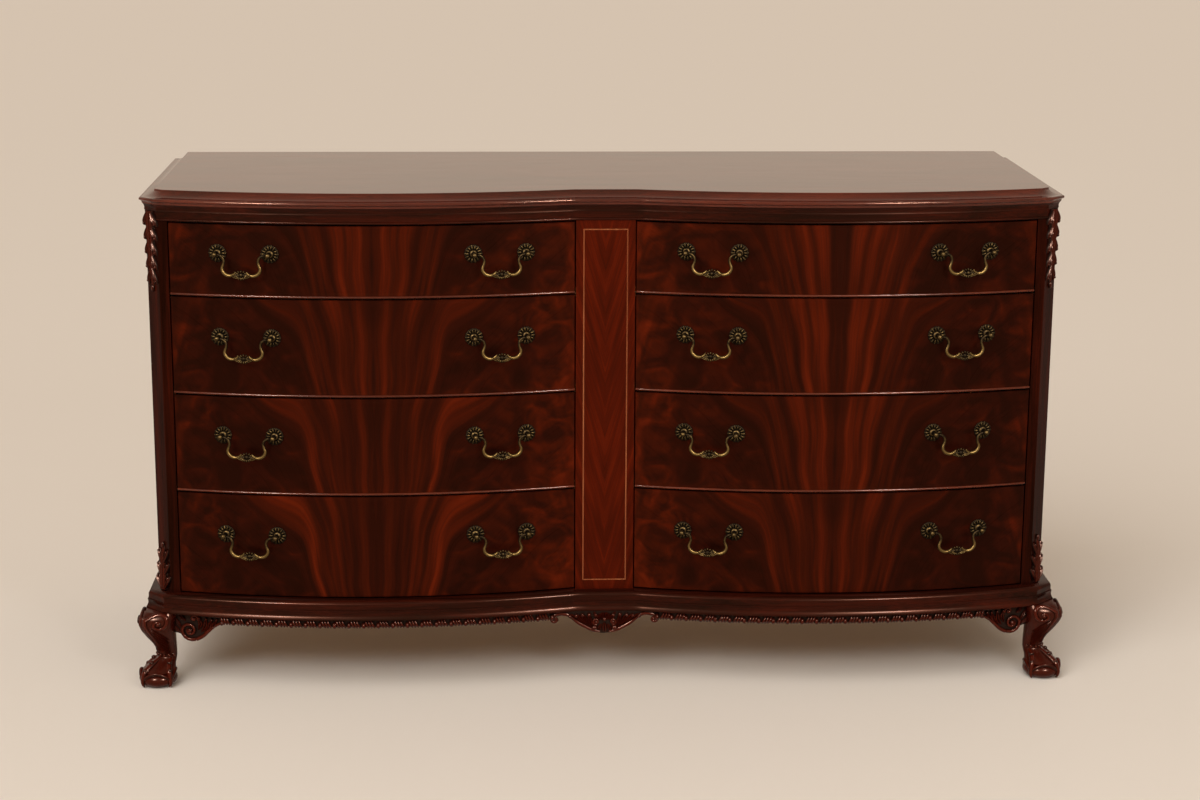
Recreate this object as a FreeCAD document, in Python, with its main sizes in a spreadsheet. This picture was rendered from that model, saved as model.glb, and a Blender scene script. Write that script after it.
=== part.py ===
import FreeCAD, Part
import math
import os
import types

import Sketcher

SIZES = {
    # Case in plan: two bowed drawer banks either side of a flat stile
    "drawer_width": 697.0,
    "stile_width": 103.0,
    "side_gap": 2.0,
    "post_face_width": 17.5,
    "post_depth": 60.0,
    "cant_width": 22.0,
    "case_depth": 504.0,
    "bow_rise": 45.0,
    # Case in height, from the floor up
    "leg_height": 137.0,
    "base_height": 34.0,
    "drawer_height_bottom": 182.5,
    "drawer_height_third": 173.0,
    "drawer_height_second": 171.0,
    "drawer_height_top": 125.5,
    "row_gap": 2.8,
    "frieze_height": 28.0,
    "top_thickness": 23.0,
    # Boards of the case
    "panel_thickness": 19.0,
    "back_thickness": 7.0,
    "stile_thickness": 22.0,
    "bottom_thickness": 16.0,
    "base_rail_depth": 45.0,
    "base_side_width": 40.0,
    "rail_thickness": 18.0,
    "rail_depth": 70.0,
    "rail_gap": 1.0,
    "runner_width": 22.0,
    "guide_height": 20.0,
    # Edge of the top
    "top_flat_inset": 16.0,
    "top_step": 3.5,
    "top_nose_reach": 10.0,
    "top_nose_height": 6.0,
    "top_cove_height": 4.5,
    "top_lip_reach": 5.0,
    "cove_share": 0.14,
    "round_share": 0.2,
    "bead_share": 0.47,
    # Frieze moulding
    "frieze_face_reach": 0.6,
    "frieze_bead_height": 4.5,
    "frieze_flat_height": 12.0,
    "frieze_shelf_reach": 1.8,
    "frieze_cove_reach": 4.4,
    # Base moulding
    "base_foot_reach": 24.0,
    "base_foot_height": 3.0,
    "base_fascia_reach": 21.5,
    "base_fascia_height": 15.0,
    "base_nose_reach": 19.5,
    "base_round_height": 10.0,
    "base_top_reach": 13.0,
    # Drawers
    "front_thickness": 20.0,
    "bead_radius": 2.0,
    "bead_lift": 0.5,
    "box_inset": 1.0,
    "box_side_thickness": 12.0,
    "box_lip": 8.0,
    "box_top_drop": 10.0,
    "box_back_clearance": 27.0,
    "box_back_drop": 6.0,
    "box_bottom_thickness": 6.0,
    "box_bottom_lift": 8.0,
    "groove_depth": 5.0,
    "groove_play": 0.2,
    "running_gap": 0.3,
    "glue_gap": 0.1,
    # Pulls
    "pull_spread": 218.5,
    "pull_boring": 91.5,
    "pull_height_share": 0.61,
    "pull_reach": 20.0,
    "rosette_radius": 17.0,
    "rosette_rim_height": 2.4,
    "rosette_dome_radius": 13.0,
    "rosette_dome_height": 4.0,
    "shank_radius": 3.0,
    "shank_play": 0.2,
    "head_radius": 5.0,
    "nut_radius": 6.5,
    "nut_height": 4.5,
    "pin_radius": 1.6,
    "pin_play": 0.08,
    "pin_engagement": 3.6,
    "bail_radius": 2.3,
    "bail_head_gap": 0.6,
    "bail_arm_inset": 14.5,
    "bail_upper_bend": 6.0,
    "bail_lower_bend": 10.0,
    "bail_drop": 34.0,
    "grip_length": 24.0,
    "grip_height": 14.0,
    "grip_depth": 8.0,
    "grip_edge_share": 0.27,
    # Front legs, on the diagonal of each corner
    "foot_offset": 13.0,
    "foot_contact_radius": 24.0,
    "foot_radius": 32.0,
    "foot_height": 34.0,
    "foot_belly_share": 0.42,
    "instep_radius": 21.0,
    "ankle_offset": 1.0,
    "ankle_radius": 17.0,
    "ankle_height": 50.0,
    "shin_offset": 5.5,
    "shin_radius": 22.0,
    "shin_height": 80.0,
    "knee_offset": 13.5,
    "knee_radius": 33.0,
    "knee_height": 114.0,
    "leg_top_offset": 8.0,
    "leg_top_radius": 30.0,
    # Rear legs
    "rear_leg_width": 56.0,
    "rear_ankle_width": 38.0,
    "rear_ankle_height": 42.0,
    "rear_foot_width": 46.0,
    # Knee brackets
    "bracket_length": 80.0,
    "bracket_tip_height": 16.0,
    "bracket_drop": 52.0,
    "bracket_scroll_width": 24.0,
    "bracket_thickness": 22.0,
    "bracket_reach": 12.0,
    "bracket_bulge_share": 0.12,
    "bracket_scroll_share": 0.35,
    "bracket_gap": 1.0,
    "bracket_leg_gap": 3.0,
    # Gadroon and pendant
    "gadroon_height": 16.0,
    "gadroon_reach": 6.0,
    "gadroon_backing": 8.0,
    "pendant_width": 194.0,
    "pendant_drop": 41.0,
    "pendant_end_drop": 15.0,
    "pendant_shoulder_drop": 11.0,
    "pendant_shoulder_share": 0.68,
    "pendant_keel_share": 0.2,
    "pendant_curve_share": 0.14,
    "pendant_reach": 22.0,
    "pendant_gap": 1.0,
    # Carvings on the canted corners
    "upper_carving_height": 125.0,
    "upper_carving_top_width": 28.0,
    "upper_carving_top_reach": 10.0,
    "lower_carving_height": 84.0,
    "lower_carving_width": 30.0,
    "lower_carving_reach": 9.0,
    "carving_tip_width": 9.0,
    "carving_tip_reach": 3.0,
}

UP = FreeCAD.Vector(0, 0, 1)
LYING = FreeCAD.Rotation(FreeCAD.Vector(1, 0, 0), 90)
CROSSWISE = FreeCAD.Rotation(FreeCAD.Vector(0, 1, 0), 90)
ROWS = ("bottom", "third", "second", "top")
SIDES = {"left": -1, "right": 1}
PULLS = ("outer", "inner")

doc = FreeCAD.newDocument("double_dresser")
sheet = doc.addObject("Spreadsheet::Sheet", "Sizes")


class Size:
    """A number together with the cell expression that gives it."""

    def __init__(self, value, text):
        self.value = float(value)
        self.text = text

    def __add__(self, other):
        other = lift(other)
        return Size(self.value + other.value, "(%s + %s)" % (self.text, other.text))

    def __sub__(self, other):
        other = lift(other)
        return Size(self.value - other.value, "(%s - %s)" % (self.text, other.text))

    def __mul__(self, other):
        other = lift(other)
        return Size(self.value * other.value, "(%s * %s)" % (self.text, other.text))

    def __truediv__(self, other):
        other = lift(other)
        return Size(self.value / other.value, "(%s / %s)" % (self.text, other.text))

    def __neg__(self):
        return self * -1

    __radd__ = __add__
    __rmul__ = __mul__


def lift(amount):
    """Give a plain number the form of a Size."""
    if isinstance(amount, Size):
        return amount
    return Size(amount, "(%s)" % amount)


def root(amount):
    return Size(math.sqrt(amount.value), "sqrt(%s)" % amount.text)


def arc_sine(ratio):
    return Size(math.degrees(math.asin(ratio.value)), "asin(%s)" % ratio.text)


for row, (alias, number) in enumerate(SIZES.items(), start=1):
    sheet.set("A%d" % row, alias)
    sheet.set("B%d" % row, str(number))
    sheet.setAlias("B%d" % row, alias)
doc.recompute()
s = types.SimpleNamespace(**{alias: Size(number, "Sizes." + alias) for alias, number in SIZES.items()})


def bind(thing, path, amount):
    thing.setExpression(path, lift(amount).text)


def place(thing, x=0, y=0, z=0, turn=None):
    thing.Placement = FreeCAD.Placement(FreeCAD.Vector(), turn or FreeCAD.Rotation())
    for axis, amount in zip("xyz", (x, y, z)):
        bind(thing, "Placement.Base." + axis, amount)
    return thing


def place_about_bow(thing, side, angle):
    """Turn a piece drawn on the bow's own axis to its place along the bow of one bank."""
    axis = UP if angle.value > 0 else -UP
    place(thing, side * bow_middle, bow_axis, 0, FreeCAD.Rotation(axis, abs(angle.value)))
    bind(thing, "Placement.Rotation.Angle", angle if angle.value > 0 else -angle)
    return thing


def facing(outward):
    """Rotation that takes a profile drawn outward and upward to a run facing that way."""
    return FreeCAD.Rotation(outward, UP, outward.cross(UP), "ZYX")


def cross_bar(name, radius, x_from, x_to):
    """A round bar along X."""
    solid = doc.addObject("Part::Cylinder", name)
    bind(solid, "Radius", radius)
    bind(solid, "Height", lift(x_to) - x_from)
    return place(solid, x_from, 0, 0, CROSSWISE)


def box(name, x_from, x_to, y_from, y_to, z_from, z_to):
    solid = doc.addObject("Part::Box", name)
    bind(solid, "Length", lift(x_to) - x_from)
    bind(solid, "Width", lift(y_to) - y_from)
    bind(solid, "Height", lift(z_to) - z_from)
    return place(solid, x_from, y_from, z_from)


def side_box(name, side, x_inner, x_outer, *rest):
    """A box between two distances from the middle, on one side of the case."""
    near, far = (x_inner, x_outer) if side > 0 else (-lift(x_outer), -lift(x_inner))
    return box(name, near, far, *rest)


def drum(name, radius, x, y, z_from, z_to):
    solid = doc.addObject("Part::Cylinder", name)
    bind(solid, "Radius", radius)
    bind(solid, "Height", lift(z_to) - z_from)
    return place(solid, x, y, z_from)


def bar(name, radius, start, end, z):
    """A round bar along Y between two distances in front of the bow's axis."""
    solid = doc.addObject("Part::Cylinder", name)
    bind(solid, "Radius", radius)
    bind(solid, "Height", end - start)
    return place(solid, 0, -start, z, LYING)


def cut(name, base, tool):
    result = doc.addObject("Part::Cut", name)
    result.Base = base
    result.Tool = tool
    return result


def common(name, base, tool):
    result = doc.addObject("Part::Common", name)
    result.Base = base
    result.Tool = tool
    return result


def fuse(name, *members):
    result = doc.addObject("Part::MultiFuse", name)
    result.Shapes = list(members)
    return result


def group(name, members):
    result = doc.addObject("Part::Compound", name)
    result.Links = list(members)
    return result


def hold(sketch, constraint, amount):
    bind(sketch, "Constraints[%d]" % sketch.addConstraint(constraint), amount)


def draw(sketch, corners, closed=True):
    """Draw an outline whose corners and arc radii are held by the cells.

    Each corner is x, y and the bulge of the run that leaves it: 0 for straight, else the rise of
    the arc as a share of its chord, outward of a counter-clockwise outline when positive.
    """
    count = len(corners)
    ends = []
    for index in range(count if closed else count - 1):
        x, y, bulge = corners[index]
        next_x, next_y, _ = corners[(index + 1) % count]
        start = FreeCAD.Vector(lift(x).value, lift(y).value, 0)
        end = FreeCAD.Vector(lift(next_x).value, lift(next_y).value, 0)
        share = lift(bulge)
        if share.value == 0:
            geometry = sketch.addGeometry(Part.LineSegment(start, end))
            first, last = 1, 2
        else:
            across = lift(next_x) - x
            along = lift(next_y) - y
            chord = root(across * across + along * along)
            size = share if share.value > 0 else -share
            radius = chord * (4 * size * size + 1) / (8 * size)
            first, last = (1, 2) if share.value > 0 else (2, 1)
            tail, head = (start, end) if share.value > 0 else (end, start)
            normal = UP.cross(head - tail).normalize()
            centre = (tail + head) / 2 + normal * (radius.value - size.value * chord.value)
            turn_from = math.atan2(tail.y - centre.y, tail.x - centre.x)
            turn_to = math.atan2(head.y - centre.y, head.x - centre.x)
            arc = Part.ArcOfCircle(Part.Circle(centre, UP, radius.value), turn_from, turn_to)
            geometry = sketch.addGeometry(arc)
            hold(sketch, Sketcher.Constraint("Radius", geometry, radius.value), radius)
        ends.append((geometry, first, last))
    for index, (geometry, first, last) in enumerate(ends):
        held = [(first, index)]
        if not closed and index == len(ends) - 1:
            held.append((last, index + 1))
        for position, corner in held:
            for kind, amount in zip(("DistanceX", "DistanceY"), corners[corner][:2]):
                value = lift(amount).value
                hold(sketch, Sketcher.Constraint(kind, -1, 1, geometry, position, value), amount)
        if index or closed:
            before = ends[index - 1]
            sketch.addConstraint(Sketcher.Constraint("Coincident", before[0], before[2], geometry, first))


def sketched_body(name, plane, corners):
    body = doc.addObject("PartDesign::Body", name)
    sketch = body.newObject("Sketcher::SketchObject", name + "_outline")
    support = [feature for feature in body.Origin.OriginFeatures if feature.Role == plane][0]
    sketch.AttachmentSupport = (support, [""])
    sketch.MapMode = "FlatFace"
    draw(sketch, corners)
    return body, sketch


def pad(name, plane, corners, length):
    body, sketch = sketched_body(name, plane, corners)
    feature = body.newObject("PartDesign::Pad", name + "_pad")
    feature.Profile = sketch
    bind(feature, "Length", length)
    return body


def lathe(name, corners):
    body, sketch = sketched_body(name, "XZ_Plane", corners)
    feature = body.newObject("PartDesign::Revolution", name + "_turning")
    feature.Profile = sketch
    feature.ReferenceAxis = (sketch, ["V_Axis"])
    feature.Angle = 360
    return body


# Lines of the plan, measured out from the middle of the case
half_stile = s.stile_width / 2
drawer_inner = half_stile + s.side_gap
drawer_outer = drawer_inner + s.drawer_width
post_inner = drawer_outer + s.side_gap
post_edge = post_inner + s.post_face_width
case_half = post_edge + s.cant_width
wall_inner = case_half - s.panel_thickness
bow_middle = (drawer_inner + drawer_outer) / 2
half_chord = (s.drawer_width + s.side_gap) / 2
bow_radius = (half_chord * half_chord + s.bow_rise * s.bow_rise) / (2 * s.bow_rise)

# Lines of the plan from front to back; the middle of the whole depth is the origin
front = (s.bow_rise + s.base_foot_reach - s.case_depth) / 2
back = front + s.case_depth
panel_back = back - s.back_thickness
bow_axis = front + bow_radius - s.bow_rise
post_back = front + s.post_depth
stile_back = front + s.stile_thickness
rail_back = front + s.rail_depth
inner_radius = bow_radius - s.front_thickness
ahead = front - s.bow_rise - s.base_foot_reach * 2


def bow_line(x):
    reach = x - bow_middle
    return bow_axis - root(bow_radius * bow_radius - reach * reach)


cant_front = bow_line(post_edge)
cant_back = cant_front + s.cant_width
corner_x = post_edge + s.cant_width / 2
corner_y = cant_front + s.cant_width / 2

# Levels
base_bottom = s.leg_height
base_top = base_bottom + s.base_height
row_heights = {row: getattr(s, "drawer_height_" + row) for row in ROWS}
row_bottoms = {}
level = base_top
for row in ROWS:
    row_bottoms[row] = level + s.row_gap
    level = row_bottoms[row] + row_heights[row]
frieze_bottom = level + s.row_gap
frieze_top = frieze_bottom + s.frieze_height
case_top = frieze_top + s.top_thickness

# Moulded edges, from the lowest point up: reach past the case, level, bulge of the next run
nose_root = s.top_nose_reach - s.top_nose_height / 2
nose_low = frieze_top + s.top_cove_height
nose_high = nose_low + s.top_nose_height
top_edge = [
    (s.top_lip_reach, frieze_top, -s.cove_share),
    (nose_root, nose_low, s.bead_share),
    (nose_root, nose_high, -s.cove_share),
    (-s.top_flat_inset, case_top - s.top_step, 0),
    (-s.top_flat_inset, case_top, 0),
]
bead_top = frieze_bottom + s.frieze_bead_height
shelf = bead_top + s.frieze_flat_height
frieze_edge = [
    (s.frieze_face_reach, frieze_bottom, s.bead_share),
    (s.frieze_face_reach, bead_top, 0),
    (s.frieze_face_reach, shelf, 0),
    (s.frieze_shelf_reach, shelf, -s.cove_share),
    (s.frieze_cove_reach, frieze_top, 0),
]
foot_top = base_bottom + s.base_foot_height
fascia_top = foot_top + s.base_fascia_height
base_edge = [
    (s.base_foot_reach, base_bottom, 0),
    (s.base_foot_reach, foot_top, -s.cove_share),
    (s.base_fascia_reach, fascia_top, 0),
    (s.base_nose_reach, fascia_top, 0),
    (s.base_nose_reach, base_top - s.base_round_height, s.round_share),
    (s.base_top_reach, base_top, 0),
]


def moulded_outline(edge, start, inside):
    """Close a moulded edge into an outline that reaches back to a straight inner side."""
    outer = [(start + reach, height, bulge) for reach, height, bulge in edge]
    return [(inside, edge[0][1], 0)] + outer + [(inside, edge[-1][1], 0)]


def moulded_run(name, edge, inside, length):
    return pad(name, "XY_Plane", moulded_outline(edge, lift(0), inside), length)


def moulded_front(name, edge, back_line):
    """Solid bounded by the edge moulding along the flat, both bows, the cants and the sides."""
    flat = moulded_run(name + "_flat", edge, -s.case_depth / 2, 2 * bow_middle)
    members = [place(flat, bow_middle, front, 0, facing(FreeCAD.Vector(0, -1, 0)))]
    for word, side in SIDES.items():
        bow = lathe(name + "_bow_" + word, moulded_outline(edge, bow_radius, lift(0)))
        members.append(place(bow, side * bow_middle, bow_axis))
    shape = fuse(name + "_bows", *members)
    far = 2 * case_half
    inside = -(far + s.case_depth)
    diagonal = root(lift(2))
    for word, side in SIDES.items():
        cant = moulded_run(name + "_cant_" + word, edge, inside, 2 * far * diagonal)
        turn = facing(FreeCAD.Vector(side, -1, 0).normalize())
        place(cant, side * corner_x + far, corner_y + side * far, 0, turn)
        shape = common(name + "_canted_" + word, shape, cant)
        end = moulded_run(name + "_end_" + word, edge, inside, back_line - ahead)
        turn = facing(FreeCAD.Vector(side, 0, 0))
        place(end, side * case_half, back_line if side > 0 else ahead, 0, turn)
        shape = common(name + "_ended_" + word, shape, end)
    return shape


def moulded_side(name, side, edge, inside):
    """Straight length of moulding along one side of the case, behind the corner post."""
    joint = post_back + s.glue_gap
    run = moulded_run(name, edge, inside, back - joint)
    start = back if side > 0 else joint
    return place(run, side * case_half, start, 0, facing(FreeCAD.Vector(side, 0, 0)))


parts = {}

# Top
parts["top_board"] = moulded_front("top", top_edge, back)

# Frieze: a bowed front length with a straight back, and a length along each side
frieze_hollow = box("frieze_hollow", -wall_inner, wall_inner, stile_back, back, frieze_bottom, frieze_top)
frieze_front = cut("frieze_front", moulded_front("frieze", frieze_edge, post_back), frieze_hollow)
frieze_sides = [
    moulded_side("frieze_side_" + word, side, frieze_edge, -s.panel_thickness)
    for word, side in SIDES.items()
]
parts["frieze_moulding"] = group("frieze_moulding", [frieze_front] + frieze_sides)

# Base: the same plan with its own moulding, hollow for the bottom board
base_hollow_x = case_half - s.base_side_width
base_hollow_y = front + s.base_rail_depth
base_hollow = box("base_hollow", -base_hollow_x, base_hollow_x, base_hollow_y, back, base_bottom, base_top)
base_front = cut("base_front", moulded_front("base", base_edge, post_back), base_hollow)
base_sides = [
    moulded_side("base_side_" + word, side, base_edge, -s.base_side_width)
    for word, side in SIDES.items()
]
parts["base_moulding"] = group("base_moulding", [base_front] + base_sides)
parts["case_bottom"] = box("case_bottom", -base_hollow_x, base_hollow_x, base_hollow_y, back,
                           base_top - s.bottom_thickness, base_top)

# Upright boards
for word, side in SIDES.items():
    parts["side_panel_" + word] = side_box(
        "side_panel_" + word, side, wall_inner, case_half, post_back, back, base_top, frieze_bottom
    )
    outline = [
        (post_inner, bow_line(post_inner), 0),
        (post_edge, cant_front, 0),
        (case_half, cant_back, 0),
        (case_half, post_back, 0),
        (post_inner, post_back, 0),
    ]
    if side < 0:
        outline = [(-x, y, bulge) for x, y, bulge in reversed(outline)]
    post = pad("corner_post_" + word, "XY_Plane", outline, frieze_bottom - base_top)
    parts["corner_post_" + word] = place(post, 0, 0, base_top)
parts["center_stile"] = box("center_stile", -half_stile, half_stile, front, stile_back,
                            base_top, frieze_bottom)
parts["center_partition"] = group("center_partition", [
    side_box("partition_" + word, side, half_stile - s.panel_thickness, half_stile,
             stile_back, panel_back, base_top, frieze_top)
    for word, side in SIDES.items()
])
parts["back_panel"] = box("back_panel", -wall_inner, wall_inner, panel_back, back, base_top, frieze_top)

# Rails behind the fronts, runners under the drawer sides, guides beside them
rails = []
runners = []
for word, side in SIDES.items():
    for row in ROWS:
        name = "%s_%s" % (word, row)
        run_top = row_bottoms[row] + s.box_lip - s.running_gap
        run_bottom = run_top - s.rail_thickness
        if row == "bottom":
            run_bottom = base_top
        else:
            board = side_box("rail_board_" + name, side, half_stile, post_inner, ahead, rail_back,
                             run_bottom, run_top)
            edge = drum("rail_edge_" + name, inner_radius - s.rail_gap, side * bow_middle, bow_axis,
                        run_bottom, run_top)
            rails.append(common("rail_" + name, board, edge))
        runners.append(side_box("runner_inner_" + name, side, half_stile, half_stile + s.runner_width,
                                rail_back, panel_back, run_bottom, run_top))
        runners.append(side_box("runner_outer_" + name, side, post_inner - s.runner_width, wall_inner,
                                rail_back, panel_back, run_bottom, run_top))
        runners.append(side_box("guide_" + name, side, post_inner, wall_inner, post_back, panel_back,
                                run_top, run_top + s.guide_height))
parts["drawer_rails"] = group("drawer_rails", rails)
parts["drawer_runners"] = group("drawer_runners", runners)


def pull_angle(side, place_word, post):
    """Angle along the bow of a post (-1 or 1), or of the middle (0), of one pull."""
    outward = 1 if place_word == "outer" else -1
    middle = arc_sine(s.pull_spread / bow_radius)
    half = arc_sine(s.pull_boring / 2 / bow_radius)
    return side * outward * middle + post * half


def build_front(name, side, row):
    bottom = row_bottoms[row]
    top = bottom + row_heights[row]
    blank = side_box(name + "_blank", side, drawer_inner, drawer_outer, ahead, rail_back, bottom, top)
    outer = drum(name + "_outer", bow_radius, side * bow_middle, bow_axis, bottom, top)
    inner = drum(name + "_inner", inner_radius, side * bow_middle, bow_axis, bottom, top)
    shape = cut(name + "_bowed", common(name + "_face", blank, outer), inner)
    if row != "bottom":
        ring = doc.addObject("Part::Torus", name + "_ring")
        bind(ring, "Radius1", bow_radius)
        bind(ring, "Radius2", s.bead_radius)
        place(ring, side * bow_middle, bow_axis, bottom + s.bead_lift + s.bead_radius)
        shape = fuse(name + "_beaded", shape, common(name + "_bead", ring, blank))
    bores = []
    level = bottom + row_heights[row] * s.pull_height_share
    for place_word in PULLS:
        for post in (-1, 1):
            tag = "%s_bore_%s_%s" % (name, place_word, "first" if post < 0 else "second")
            drill = bar(tag + "_drill", s.shank_radius + s.shank_play, inner_radius - s.nut_height,
                        bow_radius + s.head_radius, level)
            bores.append(place_about_bow(group(tag, [drill]), side, pull_angle(side, place_word, post)))
    return cut(name, shape, group(name + "_bores", bores))


def build_box(name, side, row):
    low = row_bottoms[row] + s.box_lip
    high = row_bottoms[row] + row_heights[row] - s.box_top_drop
    near = drawer_inner + s.box_inset
    far = drawer_outer - s.box_inset
    end = panel_back - s.box_back_clearance
    floor_low = low + s.box_bottom_lift
    floor_high = floor_low + s.box_bottom_thickness
    groove_low = floor_low - s.groove_play
    groove_high = floor_high + s.groove_play
    edge_radius = inner_radius - s.glue_gap

    def fitted(tag, shape):
        edge = drum(tag + "_edge", edge_radius, side * bow_middle, bow_axis, low, high)
        return common(tag + "_fitted", shape, edge)

    members = []
    inner_faces = (near + s.box_side_thickness, far - s.box_side_thickness)
    for tag, x_from, x_to in (("near", near, inner_faces[0]), ("far", inner_faces[1], far)):
        label = "%s_%s" % (name, tag)
        blank = side_box(label + "_blank", side, x_from, x_to, ahead, end, low, high)
        slot = side_box(label + "_groove", side, inner_faces[0] - s.groove_depth,
                        inner_faces[1] + s.groove_depth, ahead, back, groove_low, groove_high)
        members.append(cut(label, fitted(label, blank), slot))
    floor_reach = s.groove_depth - s.groove_play
    floor = side_box(name + "_floor", side, inner_faces[0] - floor_reach, inner_faces[1] + floor_reach,
                     ahead, end, floor_low, floor_high)
    members.append(fitted(name + "_floor", floor))
    members.append(side_box(name + "_back", side, inner_faces[0], inner_faces[1],
                            end - s.box_side_thickness, end, floor_high, high - s.box_back_drop))
    return group(name, members)


def build_pulls(name, side, row):
    """Rosettes, eyed studs and nuts of both pulls, each drawn on the bow's axis and turned there."""
    level = row_bottoms[row] + row_heights[row] * s.pull_height_share
    seat = bow_radius + s.glue_gap
    rim_face = seat + s.rosette_rim_height
    pivot = bow_radius + s.pull_reach
    nut_face = inner_radius - s.glue_gap
    stud_end = nut_face - s.nut_height - s.shank_radius
    half_angle = arc_sine(s.pull_boring / 2 / bow_radius)
    members = []
    for place_word in PULLS:
        for post in (-1, 1):
            tag = "%s_%s_%s" % (name, place_word, "first" if post < 0 else "second")
            rim = bar(tag + "_rim", s.rosette_radius, seat, rim_face, level)
            dome = doc.addObject("Part::Cone", tag + "_dome")
            bind(dome, "Radius1", s.rosette_dome_radius)
            bind(dome, "Radius2", s.head_radius)
            bind(dome, "Height", s.rosette_dome_height)
            place(dome, 0, -rim_face, level, LYING)
            eye = bar(tag + "_eye", s.shank_radius + s.shank_play, stud_end, pivot, level)
            rosette = cut(tag + "_rosette", fuse(tag + "_plate", rim, dome), eye)
            shank = bar(tag + "_shank", s.shank_radius, stud_end, pivot, level)
            head = doc.addObject("Part::Sphere", tag + "_head")
            bind(head, "Radius", s.head_radius)
            place(head, 0, -pivot, level)
            drill_reach = 2 * s.head_radius
            drill = cross_bar(tag + "_drill", s.pin_radius + s.pin_play, -drill_reach, drill_reach)
            hole = group(tag + "_hole", [drill])
            place(hole, 0, -pivot, level, FreeCAD.Rotation(-post * UP, half_angle.value))
            bind(hole, "Placement.Rotation.Angle", half_angle)
            stud = cut(tag + "_stud", fuse(tag + "_bolt", shank, head), hole)
            block = bar(tag + "_block", s.nut_radius, nut_face - s.nut_height, nut_face, level)
            bore = bar(tag + "_bore", s.shank_radius + s.shank_play, stud_end, pivot, level)
            nut = cut(tag + "_nut", block, bore)
            members.append(group(tag, [rosette, stud, nut]))
            place_about_bow(members[-1], side, pull_angle(side, place_word, post))
    return group(name, members)


def build_bail(name, side, row, place_word):
    """Bent rod with a pin at each end, hung between the studs of one pull."""
    level = row_bottoms[row] + row_heights[row] * s.pull_height_share
    pivot_radius = bow_radius + s.pull_reach
    pivot_x = s.pull_boring / 2 * pivot_radius / bow_radius
    pivot_y = root(pivot_radius * pivot_radius - pivot_x * pivot_x)
    start = pivot_x - s.head_radius - s.bail_head_gap
    arm = pivot_x - s.bail_arm_inset
    shoulder = arm + s.bail_upper_bend
    elbow = arm - s.bail_lower_bend
    quarter_share = (root(lift(2)) - 1) / 2
    path = doc.addObject("Sketcher::SketchObject", name + "_path")
    draw(path, [
        (-start, 0, 0),
        (-shoulder, 0, -quarter_share),
        (-arm, -s.bail_upper_bend, 0),
        (-arm, s.bail_lower_bend - s.bail_drop, quarter_share),
        (-elbow, -s.bail_drop, 0),
        (elbow, -s.bail_drop, quarter_share),
        (arm, s.bail_lower_bend - s.bail_drop, 0),
        (arm, -s.bail_upper_bend, -quarter_share),
        (shoulder, 0, 0),
        (start, 0, 0),
    ], closed=False)
    place(path, 0, -pivot_y, level, LYING)
    section = doc.addObject("Part::Circle", name + "_section")
    bind(section, "Radius", s.bail_radius)
    place(section, -start, -pivot_y, level, FreeCAD.Rotation(FreeCAD.Vector(0, 1, 0), 90))
    rod = doc.addObject("Part::Sweep", name + "_rod")
    rod.Sections = [section]
    rod.Spine = (path, ["Edge%d" % number for number in range(1, path.GeometryCount + 1)])
    rod.Solid = True
    rod.Frenet = False
    members = [rod]
    reach = pivot_x - s.head_radius + s.pin_engagement
    root_x = start - s.bail_radius
    for word, low, high in (("first", -reach, -root_x), ("second", root_x, reach)):
        pin = cross_bar("%s_pin_%s" % (name, word), s.pin_radius, low, high)
        members.append(place(pin, low, -pivot_y, level, CROSSWISE))
    grip_end = s.grip_length / 2
    grip_edge = s.grip_height * s.grip_edge_share
    swell_share = (s.grip_height / 2 - grip_edge) / s.grip_length
    grip = pad(name + "_grip", "XY_Plane", [
        (-grip_end, -grip_edge, swell_share),
        (grip_end, -grip_edge, 0),
        (grip_end, grip_edge, swell_share),
        (-grip_end, grip_edge, 0),
    ], s.grip_depth)
    members.append(place(grip, 0, s.grip_depth / 2 - pivot_y, level - s.bail_drop, LYING))
    return place_about_bow(fuse(name, *members), side, pull_angle(side, place_word, 0))


for word, side in SIDES.items():
    for row in ROWS:
        drawer = "drawer_%s_%s_" % (word, row)
        parts[drawer + "front"] = build_front(drawer + "front", side, row)
        parts[drawer + "box"] = build_box(drawer + "box", side, row)
        parts[drawer + "pulls"] = build_pulls(drawer + "pulls", side, row)
        for place_word in PULLS:
            bail = "bail_%s_%s_%s" % (word, row, place_word)
            parts[bail] = build_bail(bail, side, row, place_word)


def wedge(name, height, low, high):
    """Tapered block standing on its low end; each end is half width, near depth, far depth."""
    solid = doc.addObject("Part::Wedge", name)
    for prefix, (half_width, near, far) in (("", low), ("2", high)):
        bind(solid, "X%smin" % prefix, -half_width)
        bind(solid, "X%smax" % prefix, half_width)
        bind(solid, "Z%smin" % prefix, near)
        bind(solid, "Z%smax" % prefix, far)
    bind(solid, "Ymin", 0)
    bind(solid, "Ymax", height)
    return solid


def square_end(width):
    return width / 2, -width / 2, width / 2


def bracket_outline(tip, end, mirrored):
    """Outline of a knee bracket from its tip to the end at the leg."""
    scroll_level = base_bottom - s.bracket_drop + s.bracket_scroll_width / 2
    corners = [
        (tip, base_bottom, 0),
        (tip, base_bottom - s.bracket_tip_height, -s.bracket_bulge_share),
        (end - s.bracket_scroll_width, scroll_level, s.bracket_scroll_share),
        (end, scroll_level, 0),
        (end, base_bottom, 0),
    ]
    if not mirrored:
        return corners
    bulges = [bulge for _, _, bulge in corners]
    turned = list(reversed(corners))
    shifted = list(reversed(bulges[:-1])) + [bulges[-1]]
    return [(-x, y, bulge) for (x, y, _), bulge in zip(turned, shifted)]


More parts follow.
